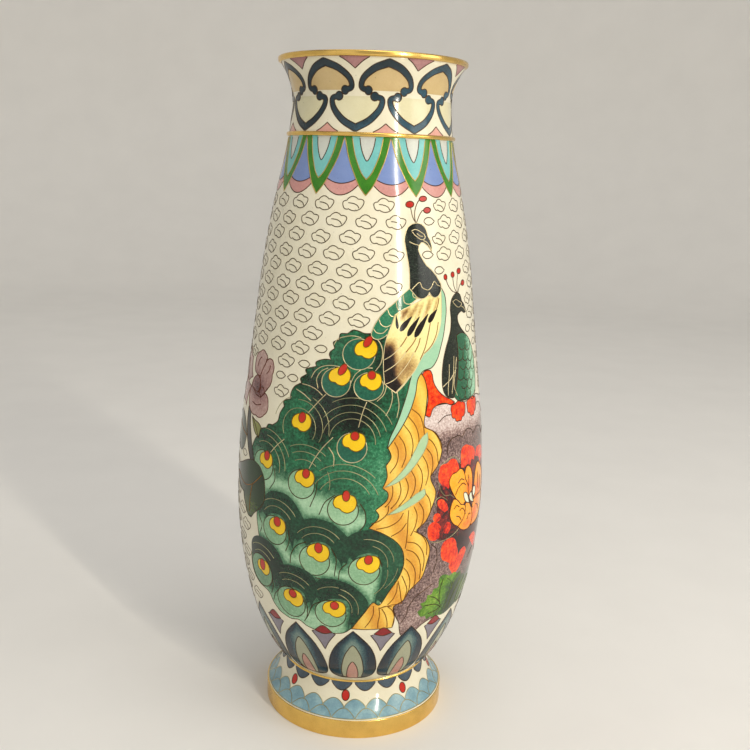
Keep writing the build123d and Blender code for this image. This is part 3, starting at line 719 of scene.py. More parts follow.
def peony():
    """The big flower: red outer petals on maroon, orange inner petals and the pistils."""
    blob("maroon", [(35.6, 122.4), (38.4, 127), (44, 132), (50, 134), (60, 134.6), (72, 133), (82, 127),
        (86, 116), (83, 105), (77, 99), (68, 94.4), (60, 89), (52, 88.6), (46, 94), (41.6, 99.4),
        (36.4, 101.4), (34, 106), (35.4, 113)], None)
    red_petals = [
        [(36, 131.4), (37.4, 134.8), (41, 135.3), (43.6, 136.6), (46.8, 135.8), (48.6, 133),
            (49.2, 130.4), (45, 127), (42, 123.4, 1), (40.2, 124.8), (39.2, 123.6, 1), (37.6, 126.4),
            (36.2, 128.2)],
        [(50.8, 131.2, 1), (50.5, 136.4), (51.4, 139.8), (54.6, 140.8), (58.6, 139.6), (62.4, 138),
            (64.4, 135), (62.6, 132, 1), (60.4, 132.8), (58.6, 130.4, 1), (56, 131.6), (53.6, 130.6, 1)],
        [(64.6, 133.4), (66.4, 136.6), (70.4, 136.8), (75.4, 135.4), (80.6, 131.4), (80.4, 127, 1),
            (75, 129.4), (72.6, 127.6, 1), (69.4, 131.6)],
        [(79, 124), (82.6, 128), (87, 125), (88.2, 118.4), (84.2, 113.6, 1), (81.4, 118)],
        [(80.4, 111), (84.6, 112.8), (88.2, 107.6), (85.6, 101.6), (80.4, 101.8, 1), (82.4, 106)],
        [(35.9, 119.4), (38.2, 119.6), (41, 117.2), (42.2, 114), (40, 113.2, 1), (37.4, 115.4),
            (35.9, 117.4)],
        [(33.6, 111.4), (34.6, 113.5), (36.8, 113.3), (38, 111.4), (36.8, 109.8), (34.8, 109.8)],
        [(31.2, 104.6), (31.4, 108.4), (34, 110), (36.6, 108.8), (38.4, 106.4), (37.4, 104.4, 1),
            (38, 102.2), (35, 101), (32.2, 102)],
        [(40, 105.6), (42, 108.2), (44.4, 106.8), (44.2, 104), (42.2, 102.2, 1), (40.6, 103.4)],
        [(39.6, 94.2), (40.2, 98.2), (43.2, 99.8), (46.8, 99.4), (49.6, 96.8), (50.4, 94.2, 1),
            (51.8, 92), (52.4, 88.2), (48.6, 86.2), (44.2, 88.4), (41, 90.4)],
        [(46.4, 85.8), (49.4, 88.8), (52.4, 88.2, 1), (54, 90.8), (57.6, 91.8), (60.2, 89), (58, 84.8),
            (55, 81.2), (51.4, 80), (48.4, 82.6)],
        [(62, 94.8, 1), (66.6, 95.8), (72.6, 92.8), (77.2, 87.6), (73, 86.4), (67.4, 89.8)]]
    for petal in red_petals:
        blob("red", petal, None)
    lines("fine", [(36, 127.6), (37.4, 123.8), (40, 120.9), (43.4, 120.4), (46.2, 118.4)],
        [(36.6, 134.6), (40.6, 136.4), (43.6, 137.4), (47, 136.8), (50.2, 133.2)],
        [(31, 102.6), (34.6, 100.2), (41.6, 99.9), (46.6, 100.9), (51.4, 103.2)],
        [(35.2, 116.6), (34.8, 119.6), (37.6, 120.8), (41.4, 118.6)])
    orange_petals = [
        [(64, 113.4, 1), (63.4, 120.4), (64.8, 126.6), (67.2, 129.6), (70.8, 128.8), (75, 125.4),
            (79.6, 120.4), (80.8, 114.6), (73, 113)],
        [(61.2, 108, 1), (63.6, 113), (72.6, 113.2), (80.4, 112), (79.4, 105.6), (72, 101.2),
            (62.4, 100.6, 1)],
        [(56.4, 116, 1), (53.8, 124.6), (53.9, 128.4), (55.6, 130.8), (57.8, 130.4), (60.4, 127.2),
            (61.4, 122.8), (61, 118, 1)],
        [(51.6, 113, 1), (46.4, 118.8), (44, 122.4), (42.4, 126.4), (44.2, 129.4), (47.4, 130),
            (50.2, 131), (53, 129), (54.4, 125.2, 1), (56.8, 121.6), (57.4, 115.4, 1)],
        [(57.2, 115.2, 1), (60.2, 111), (62.4, 107.6), (63, 103.4), (60.8, 100.6), (56.4, 100.4),
            (52.6, 101.8), (49.4, 104.2, 1), (51.6, 109.6)],
        [(49.8, 104, 1), (46, 106.4), (43.6, 110.4), (43.8, 114.4), (45.8, 117.8), (48.4, 116.8),
            (51, 114.2, 1), (55, 112.4), (54, 107)]]
    for petal in orange_petals:
        blob("orange", petal, "petal")
    lines("petal", [(46.8, 119.6), (49, 122.4), (52.4, 123.7), (54.9, 122.2)],
        [(48.4, 124.6), (50.8, 126), (53.2, 125)], [(50.4, 111.2), (52.2, 112), (54, 110.8), (55.6, 108.4)],
        [(48.2, 109.2), (50.2, 108.6), (52.2, 106.4)], [(46.2, 113.2), (48, 114.4), (50, 113.2)],
        [(57.4, 105.2), (58.8, 107.4), (60.8, 107)], [(67.4, 125), (69, 121.4), (68.6, 117)],
        [(73, 121.8), (73.6, 118.2), (72.2, 115.2)], [(67, 109.6), (70.4, 108.2), (72.6, 105.4)],
        [(56.6, 126.6), (57.6, 124), (57.2, 120.8)])
    blob("pistil", [(53.2, 118.8), (55.4, 118.6), (57.4, 116), (58.6, 112.8, 1), (55.6, 114),
        (53.8, 116.2)], "petal")
    blob("pistil", [(58.6, 116.8), (60.6, 117.4), (61.6, 115.2), (63.8, 111.6, 1), (60.4, 113),
        (58.8, 114.8)], "petal")
    blob("pistil", [(62.4, 119.2), (64.8, 119), (65.2, 115.8), (63, 114.6), (61.9, 116.8)], "petal")
    line([(57.4, 115.6), (59.6, 112.6), (62.8, 109.4)], "dark")


def green_leaf():
    """The leaf at the foot of the rock, with its veins."""
    blob("leaf", [(30.8, 66, 1), (33.4, 67.8), (31.6, 70.2, 1), (34.8, 71), (35.2, 73.8, 1), (37.6, 73.8),
        (38.6, 76.4, 1), (41.2, 76.4), (41.2, 81.4), (44.6, 82), (48.4, 80.2), (51.8, 80.8), (55.8, 79),
        (58.4, 79.4, 1), (60.8, 76), (62.8, 76.4), (64.8, 74.8), (70, 76.6), (76, 75.4), (81.4, 71.6),
        (82, 66.4), (78, 63.4), (72, 61.4), (64.4, 60.8), (56.4, 59.8), (50, 59), (44.4, 60.4, 1),
        (42.6, 59.6), (40.6, 61.2, 1), (38, 60.4), (36.2, 62.6, 1), (33.6, 62.8)], None)
    lines("dark", [(46.4, 64.4), (43.6, 70), (43, 75.4), (44, 80.2)],
        [(46.4, 64.4), (41.4, 67.4), (34.4, 68.4)], [(44.6, 67.6), (40.6, 71), (37.2, 72.6)],
        [(46.4, 64.4), (41.6, 63.4), (38, 63.2)])
    lines("leafy", [(50.4, 61.6), (50.8, 68.4), (53.6, 75.6), (57.6, 78.6)],
        [(53.6, 61), (55.4, 67.4), (60.2, 74.6)], [(60.4, 62), (61.4, 68), (65.6, 74.2)],
        [(63.4, 61.6), (66.6, 67.4), (73, 72)], [(46.6, 79.6), (50.4, 76.6), (53.4, 71.4)],
        [(70.4, 64), (75, 67.4), (79.6, 69.4)])


def left_flower():
    """The mauve flower on the left, with its stem and leaves."""
    blob("stem", [(-67, 152.4, 1), (-63.2, 152.4, 1), (-62.4, 147), (-60, 140.6), (-57.6, 135),
        (-55.2, 130.2, 1), (-59.4, 130.2, 1), (-62.2, 134.4), (-64.8, 140), (-66.6, 146)])
    blob("leaf_dark", [(-65.4, 139.6, 1), (-68.6, 145), (-74.2, 148.2), (-81, 148), (-87.6, 143.6, 1),
        (-84.4, 136.4), (-79, 131.4), (-72, 130.8), (-67.6, 134)])
    line([(-65.6, 139.4), (-73, 140.8), (-81.6, 142.8)], "gold")
    blob("leaf_olive", [(-61, 149.4, 1), (-57.6, 148.4), (-54, 147.8), (-51.6, 146.4, 1), (-52.6, 143.6),
        (-53.2, 141.4, 1), (-56.6, 143), (-59.2, 146)])
    line([(-60.6, 149), (-57, 146.4), (-53.4, 141.8)])
    area("mauve_flower", oval(-60.5, 162.5, 5.5, 5.5), None)
    petals = [
        [(-66.6, 166, 1.2), (-70, 174.6, 1.6), (-75.6, 178.6, 1.8), (-82.6, 174.4, 1.4), (-83, 166, 1.4),
            (-76, 161, 0.6)],
        [(-67.2, 162, 0.8), (-77, 164.6, 1.4), (-83.6, 159.6, 1.4), (-80.6, 153, 1.2), (-72, 151.8, 0.6)],
        [(-56, 168, 0.4), (-64, 169, 0.8), (-65.2, 174.2, 1.2), (-60.6, 178.4, 1.2), (-55, 178.6, 1.4),
            (-53.8, 174.4, 0.3)],
        [(-55.4, 160, 0.2), (-58, 167.6, 0.4), (-54, 174.6, 1.2), (-48.8, 176.6, 1.3), (-47.8, 170.4, 0.9),
            (-49.6, 164.4, 0.5)],
        [(-58.4, 160.6, 0.2), (-66.6, 162.2, 0.9), (-63, 166.8, 1.1), (-58.4, 167, 0.8), (-57, 163.6, 0.3)],
        [(-57, 161, 0.3), (-55.4, 163.6, 0.7), (-52.6, 162.4, 0.5), (-54.4, 159, 0.2)],
        [(-54.8, 159, 0.3), (-51.6, 161.6, 0.9), (-48.4, 157.6, 1.2), (-50.6, 152.2, 1.1),
            (-57.6, 150.6, 1), (-65.6, 152.4, 0.9), (-68.4, 158.6, 0.9), (-66, 162, 0.2), (-60, 159.4, 0)]]
    for petal in petals:
        area("mauve_flower", lobes(petal), "petal")
    lines("petal", [(-56.2, 171.6), (-54.6, 173.6), (-53.6, 176.4)],
        [(-58.8, 160.6), (-57.2, 162.4), (-56.4, 165)], [(-55.4, 159), (-52.8, 161), (-50.2, 164)],
        [(-62, 171.8), (-61, 174.6), (-58.8, 176.4)], [(-52.4, 170), (-50.6, 171.8), (-49.8, 174.2)],
        [(-63, 155.6), (-58.4, 155), (-54, 156.2)], [(-74.6, 165.6), (-77, 169.4), (-77.6, 173)])
    blob("leaf_dark", [(-80.6, 121, 1), (-75, 123.8), (-69.4, 125.8), (-63, 128.6), (-56.4, 130.4),
        (-50.4, 129), (-47, 125), (-45.8, 119.4), (-46.6, 113.6), (-49.6, 109.6), (-53.6, 106.6),
        (-57, 103.2, 1), (-60.4, 103.6), (-62.2, 106.4, 1), (-64.6, 109.4), (-65.6, 112.8, 1), (-70, 113.4),
        (-75.2, 116)])
    lines("gold", [(-48.6, 125.4), (-56, 119.4), (-64, 117), (-76, 120)],
        [(-56, 119.4), (-58, 112), (-58.6, 105.4)])


BLOSSOM = [(0.9, -1.4, 0.5), (3.4, -3.5, 1), (6.6, -3.4, 1.3), (8.4, 0, 1.3), (6.6, 3.4, 1),
    (3.4, 3.5, 0.5), (0.9, 1.4, 0.3)]
SPRAY_LEAF = [(0, 0, 1), (3.4, 2.7), (8, 3.5), (12.6, 2.2), (16.2, 0.2, 1), (12.4, -2.2), (7.8, -2.8),
    (3.2, -2)]


def back_spray():
    """A blossoming spray for the side that faces away."""
    where = (182, 132)
    for stem in ([(-20, -44), (-12.4, -26), (-8.4, -8), (-1, 8), (2.4, 30)],
            [(-10.4, -14), (-16.4, -4), (-20, 10)], [(-5.4, -1), (4.4, 1.4), (13, -3.4), (18.4, -10)],
            [(1.4, 18), (8.8, 26.6), (12.6, 37.4)]):
        line(placed(stem, *where), "petal")
    for x, y, tilt, size in ((-14.6, -32, 190, 1), (-12.6, -27, 20, 1.1), (-9, -10, 330, 0.95),
            (-13, -9, 168, 0.9), (8.6, 0.6, 62, 0.8), (0.6, 12, 152, 1), (9.8, 28, 350, 0.8),
            (-18.6, 4, 205, 0.75)):
        (a, z), = placed([(x, y)], *where)
        blob("leaf", placed(SPRAY_LEAF, a, z, tilt, size))
        line(placed([(1.5, 0), (8, 0.5), (14.5, 0.2)], a, z, tilt, size), "leafy")
    for x, y, turn, size in ((2.6, 36, 14, 1), (-21, 15, 40, 0.85), (20, -14, 62, 0.9),
            (13.4, 42.6, 50, 0.5)):
        (a, z), = placed([(x, y)], *where)
        for k in range(5):
            petal = [(px, -py, bulge) for px, py, bulge in BLOSSOM]
            area("mauve_flower", lobes(placed(petal, a, z, turn + 72 * k, size))[::-1], "petal")
        area("eye_yellow", oval(a, z, 2 * size, 2 * size), "petal")


# ---------------------------------------------------------------- enamel cells and wires as meshes
CELL_DEPTH = 0.95
SHEET_X = math.radians(1) * 50.0  # mm on the sheet for a degree, for distances and for cutting
FREE_REACH, GRID_REACH = 0.3, 0.35  # how far inner points stay from outlines, in mm
MERGE_MM = 1e-4
# where the glaze changes quickly: left, right, bottom, top and spacing of extra points
FINE_GRIDS = [(8.3, 41.7, 167.3, 209.7, 0.75), (-62.1, 22.3, 57.7, 166.9, 1.35),
    (30.1, 84.3, 59.3, 141.1, 1.4)]
WIRE_SECTION = [(-0.5, -0.3), (-0.42, 0.05), (-0.16, 0.11), (0.16, 0.11), (0.42, 0.05), (0.5, -0.3)]
PIECES = {}


def wrapped(ring):
    """A ring, and its copy a turn away where it crosses the seam at the back."""
    out = [ring]
    if ring[:, 0].max() > 180:
        out.append(ring - (360, 0))
    if ring[:, 0].min() < -180:
        out.append(ring + (360, 0))
    return out


def tree_of(points):
    """A search tree of sheet points, in mm."""
    tree = KDTree(max(len(points), 1))
    for i, (x, y) in enumerate(points):
        tree.insert((x, y, 0), i)
    tree.balance()
    return tree


def cells(low, high, ground, spacing):
    """Cuts one zone of the sheet into cells by painter's order and collects each piece's triangles."""
    verts, edges, rings = [], [], []
    for piece, ring, _ in AREAS:
        for copy in wrapped(ring):
            rings.append((piece, copy))
            start = len(verts)
            verts += [(x * SHEET_X, y) for x, y in copy]
            edges += [(start + i, start + (i + 1) % len(copy)) for i in range(len(copy))]
    tree = tree_of(verts)
    for left, right, bottom, top, step in FINE_GRIDS:
        for x in np.arange(left, right, step) * SHEET_X:
            for y in np.arange(bottom, top, step):
                if low < y < high and tree.find((x, y, 0))[2] >= FREE_REACH:
                    verts.append((x, y))
    columns = round(360 / spacing[0])
    rows = round((high - low) / spacing[1])
    for i in range(columns + 1):
        for j in range(rows + 1):
            x, y = (-180 + 360 * i / columns) * SHEET_X, low + (high - low) * j / rows
            border = i in (0, columns) or j in (0, rows)
            fine = any(a <= x / SHEET_X <= b and c <= y <= d for a, b, c, d, _ in FINE_GRIDS)
            if border or not (fine or tree.find((x, y, 0))[2] < GRID_REACH):
                verts.append((x, y))
    start = len(verts)
    verts += [(x * SHEET_X, y) for x, y in ((-180, low), (180, low), (180, high), (-180, high))]
    edges += [(start + i, start + (i + 1) % 4) for i in range(4)]
    cut, _, faces, *_ = delaunay_2d_cdt([Vector(v) for v in verts], edges, [], 0, MERGE_MM, False)
    points = np.array([(v[0] / SHEET_X, v[1]) for v in cut])
    tris = np.array(faces)
    middle = points[tris].mean(1)
    keep = (abs(middle[:, 0]) < 180) & (middle[:, 1] > low) & (middle[:, 1] < high)
    tris, middle = tris[keep], middle[keep]
    owner = np.full(len(tris), -1)
    for i, (_, ring) in enumerate(rings):
        owner[inside(middle, ring)] = i
    names = np.array([ground if i < 0 else rings[i][0] for i in owner])
    for name in sorted(set(names)):
        PIECES.setdefault(name, []).append((points, tris[names == name]))


def visible_wires(low, high):
    """The parts of each wire that no later area covers, as {kind: [runs of sheet points]}."""
    outlines = [(wire, np.vstack([ring, ring[:1]]), i + 1)
        for i, (_, ring, wire) in enumerate(AREAS) if wire]
    todo = [(wire, copy, order) for wire, ring, order in outlines + LINES for copy in wrapped(ring)]
    points = np.concatenate([ring for _, ring, _ in todo])
    order = np.concatenate([np.full(len(ring), n) for _, ring, n in todo])
    hidden = (points[:, 1] < low) | (points[:, 1] > high) | (abs(points[:, 0]) > 180)
    for i, (_, ring, _) in enumerate(AREAS):
        for copy in wrapped(ring):
            below = np.flatnonzero(order <= i)
            hidden[below] |= inside(points[below], copy)
    runs, at = {}, 0
    for wire, ring, _ in todo:
        run = []
        for p, out in zip(ring, hidden[at:at + len(ring)]):
            if out:
                if len(run) > 2:
                    runs.setdefault(wire, []).append(np.array(run))
                run = []
            elif not run or abs(p - run[-1]).max() > 1e-6:
                run.append(p)
        if len(run) > 2:
            runs.setdefault(wire, []).append(np.array(run))
        at += len(ring)
    return runs


def finish_mesh(name, verts, faces, normals, material, nodes, shade=None):
    """Makes the object of one piece, smooth but for its own normals, on the vase's one body."""
    mesh = bpy.data.meshes.new(name)
    mesh.from_pydata([tuple(v) for v in verts], [], [tuple(f) for f in faces])
    if shade is not None:
        fade = mesh.attributes.new("fade", "FLOAT", "POINT")
        fade.data.foreach_set("value", np.asarray(shade, np.float32))
    mesh.polygons.foreach_set("use_smooth", np.ones(len(mesh.polygons), bool))
    if normals is not None:
        mesh.normals_split_custom_set([tuple(n) for n in normals])
    mesh.update()
    obj = bpy.data.objects.new(name, mesh)
    bpy.context.scene.collection.objects.link(obj)
    mesh.materials.append(material)
    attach(obj, "root")
    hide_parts(*nodes)


def slab(name, parts, nodes):
    """The closed slab of enamel of one piece, flush with the vase's surface."""
    verts, faces, normals, shades = [], [], [], []
    start = 0
    shader = SHADES.get(name, lambda x, y: 0.5)
    for points, tris in parts:
        used, index = np.unique(tris, return_inverse=True)
        index = index.reshape(-1, 3)
        sheet = points[used]
        top, normal = on_vase(sheet)
        bottom, _ = on_vase(sheet, -CELL_DEPTH)
        n = len(used)
        verts += [top, bottom]
        a, b, c = (top[index[:, k]] for k in range(3))
        flip = (np.cross(b - a, c - a) * normal[index[:, 0]]).sum(1) < 0
        index[flip] = index[flip][:, ::-1]
        faces += [tuple(t + start) for t in index]
        normals += list(normal[index.reshape(-1)])
        faces += [tuple(t[::-1] + start + n) for t in index]
        normals += list(-normal[index[:, ::-1].reshape(-1)])
        directed = dict.fromkeys(edge for i, j, k in index for edge in ((i, j), (j, k), (k, i)))
        for u, v in directed:
            if (v, u) in directed:
                continue
            wall = np.cross(top[v] - top[u], normal[u])
            wall = wall / max(np.linalg.norm(wall), 1e-12)
            faces.append((v + start, u + start, u + start + n, v + start + n))
            normals += [wall] * 4
        shades += [shader(x, y) for x, y in sheet] * 2
        start += 2 * n
    slot, material = PALETTE[name]
    finish_mesh(name, np.concatenate(verts), faces, normals, material, nodes, shades)


def ribbon(name, runs, width, material, nodes):
    """Wires laid along runs of sheet points: half-round on top, sunk in the enamel."""
    verts, faces = [], []
    count = len(WIRE_SECTION)
    for run in runs:
        p, n = on_vase(run)
        t = np.gradient(p, axis=0)
        t /= np.maximum(np.linalg.norm(t, axis=1), 1e-12)[:, None]
        side = np.cross(t, n)
        side /= np.linalg.norm(side, axis=1)[:, None]
        closed = np.abs(run[0] - run[-1]).max() < 1e-6
        if closed:
            p, n, side = p[:-1], n[:-1], side[:-1]
        start = len(verts)
        for point, normal, across in zip(p, n, side):
            verts += [point + across * s * width * MM + normal * h * MM for s, h in WIRE_SECTION]
        rows = len(p)
        for i in range(rows if closed else rows - 1):
            a, b = start + i * count, start + (i + 1) % rows * count
            faces += [(a + k, a + (k + 1) % count, b + (k + 1) % count, b + k) for k in range(count)]
        if not closed:
            faces.append(tuple(start + k for k in range(count))[::-1])
            faces.append(tuple(start + (rows - 1) * count + k for k in range(count)))
    finish_mesh(name, verts, faces, None, material, nodes)


# ---------------------------------------------------------------- materials
def linear(rgb):
    """An 8-bit screen colour as linear values."""
    parts = [v / 255 for v in rgb]
    return [c / 12.92 if c <= 0.04045 else ((c + 0.055) / 1.055) ** 2.4 for c in parts] + [1.0]


def node(tree, kind, inputs=None, **settings):
    """A shader node; an input may be a value or another node's output."""
    made = tree.nodes.new(kind)
    for key, value in settings.items():
        setattr(made, key, value)
    for key, value in (inputs or {}).items():
        if isinstance(value, bpy.types.NodeSocket):
            tree.links.new(value, made.inputs[key])
        else:
            made.inputs[key].default_value = value
    return made


def maths(tree, operation, a, b):
    return node(tree, "ShaderNodeMath", {0: a, 1: b}, operation=operation).outputs[0]


def noise(tree, where, size_mm, detail=2.0, roughness=0.5):
    inputs = {"Vector": where, "Scale": 1000 / size_mm, "Detail": detail, "Roughness": roughness}
    return node(tree, "ShaderNodeTexNoise", inputs).outputs["Fac"]


def swing(tree, value, amount):
    """A value from 0 to 1 as one that swings by amount to either side of nothing."""
    return maths(tree, "MULTIPLY", maths(tree, "SUBTRACT", value, 0.5), amount * 2)


def remap(tree, value, start, end, low, high):
    inputs = {"Value": value, "From Min": start, "From Max": end, "To Min": low, "To Max": high}
    return node(tree, "ShaderNodeMapRange", inputs).outputs[0]


def darkened(tree, colour, value):
    """A colour times a grey value."""
    grey = node(tree, "ShaderNodeCombineColor", {0: value, 1: value, 2: value}).outputs[0]
    return node(tree, "ShaderNodeMix", {"Factor": 1.0, 6: colour, 7: grey}, data_type="RGBA",
        blend_type="MULTIPLY").outputs[2]


def relief(tree, height, strength, distance):
    inputs = {"Strength": strength, "Distance": distance, "Height": height}
    return node(tree, "ShaderNodeBump", inputs).outputs[0]


def new_material(name):
    """A new material with its node tree, its shader and the place on the object."""
    mat = bpy.data.materials.new(name)
    mat.use_nodes = True
    tree = mat.node_tree
    tree.nodes.clear()
    shader = node(tree, "ShaderNodeBsdfPrincipled")
    out = node(tree, "ShaderNodeOutputMaterial")
    tree.links.new(shader.outputs[0], out.inputs[0])
    where = node(tree, "ShaderNodeTexCoord").outputs["Object"]
    return mat, tree, shader, where


def dress(tree, shader, **inputs):
    """Sets or links inputs of a shader; an underscore in a name stands for a space."""
    for key, value in inputs.items():
        socket = shader.inputs[key.replace("_", " ")]
        if isinstance(value, bpy.types.NodeSocket):
            tree.links.new(value, socket)
        else:
            socket.default_value = value


# enamel: sizes of its patterns in mm, edge and shade of its pinholes, and roughness where new and worn
DRIFT_MM, PIT_GAP_MM, RIPPLE_MM, WEAR_MM = 7.0, 2.6, 3.2, 11.0
PIT_EDGE, PIT_SHADE = (0.03, 0.09), 0.5
GLOSS, WORN = 0.08, 0.19
# metal: sizes of its patches, its scratches and the lines of a lathe in mm, and how flat those lines are
PATCH_MM, SCRATCH_MM, LATHE_MM, LATHE_STRETCH = 9.0, 0.8, 4.0, 14
ENAMEL_RELIEF, METAL_RELIEF = 0.00004, 0.00006  # in metres


def enamel(name, stops, grain, mottle, grain_mm=0.6):
    """Fired, polished enamel: colours that drift along a ramp, glassy grains, pinholes and a gloss."""
    mat, tree, shader, where = new_material(name)
    fade = node(tree, "ShaderNodeAttribute", attribute_name="fade").outputs["Fac"]
    coarse = swing(tree, noise(tree, where, DRIFT_MM, 3.0), mottle)
    fine = swing(tree, noise(tree, where, grain_mm, 3.0, 0.7), grain)
    value = maths(tree, "ADD", maths(tree, "ADD", fade, coarse), fine)
    ramp = node(tree, "ShaderNodeValToRGB", {"Fac": value})
    colours = ramp.color_ramp.elements
    while len(colours) < len(stops):
        colours.new(0.5)
    for i, stop in enumerate(stops):
        colours[i].position = i / (len(stops) - 1)
        colours[i].color = linear(stop)
    pits = node(tree, "ShaderNodeTexVoronoi", {"Vector": where, "Scale": 1000 / PIT_GAP_MM})
    pit = remap(tree, pits.outputs["Distance"], *PIT_EDGE, 1 - PIT_SHADE, 1.0)
    ripple = noise(tree, where, RIPPLE_MM)
    surface = maths(tree, "ADD", ripple, maths(tree, "MULTIPLY", pit, 0.5))
    dress(tree, shader, Base_Color=darkened(tree, ramp.outputs[0], pit), IOR=1.42, Coat_Weight=0.12,
        Coat_Roughness=0.06, Roughness=remap(tree, noise(tree, where, WEAR_MM, 4.0), 0.3, 0.7, GLOSS, WORN),
        Normal=relief(tree, surface, 0.35, ENAMEL_RELIEF))
    return mat


def brass(name, bright, dull, rough, dullness, turned=False):
    """Gilt brass with duller, rougher patches and, on turned parts, fine lines left by polishing."""
    mat, tree, shader, where = new_material(name)
    patch = remap(tree, noise(tree, where, PATCH_MM, 5.0, 0.6), 0.35, 0.75, 0.0, dullness)
    colour = node(tree, "ShaderNodeMix", {"Factor": patch, 6: linear(bright), 7: linear(dull)},
        data_type="RGBA").outputs[2]
    scale = (1, 1, LATHE_STRETCH) if turned else (1, 1, 1)
    stretched = node(tree, "ShaderNodeMapping", {"Vector": where, "Scale": scale}).outputs[0]
    scratches = noise(tree, stretched, LATHE_MM if turned else SCRATCH_MM, 4.0, 0.7)
    dress(tree, shader, Base_Color=colour, Metallic=1.0,
        Roughness=remap(tree, patch, 0, 1, rough, rough + 0.3),
        Normal=relief(tree, scratches, 0.12 if turned else 0.3, METAL_RELIEF))
    return mat


CREAM = [(206, 199, 170), (228, 222, 198), (236, 232, 214)]
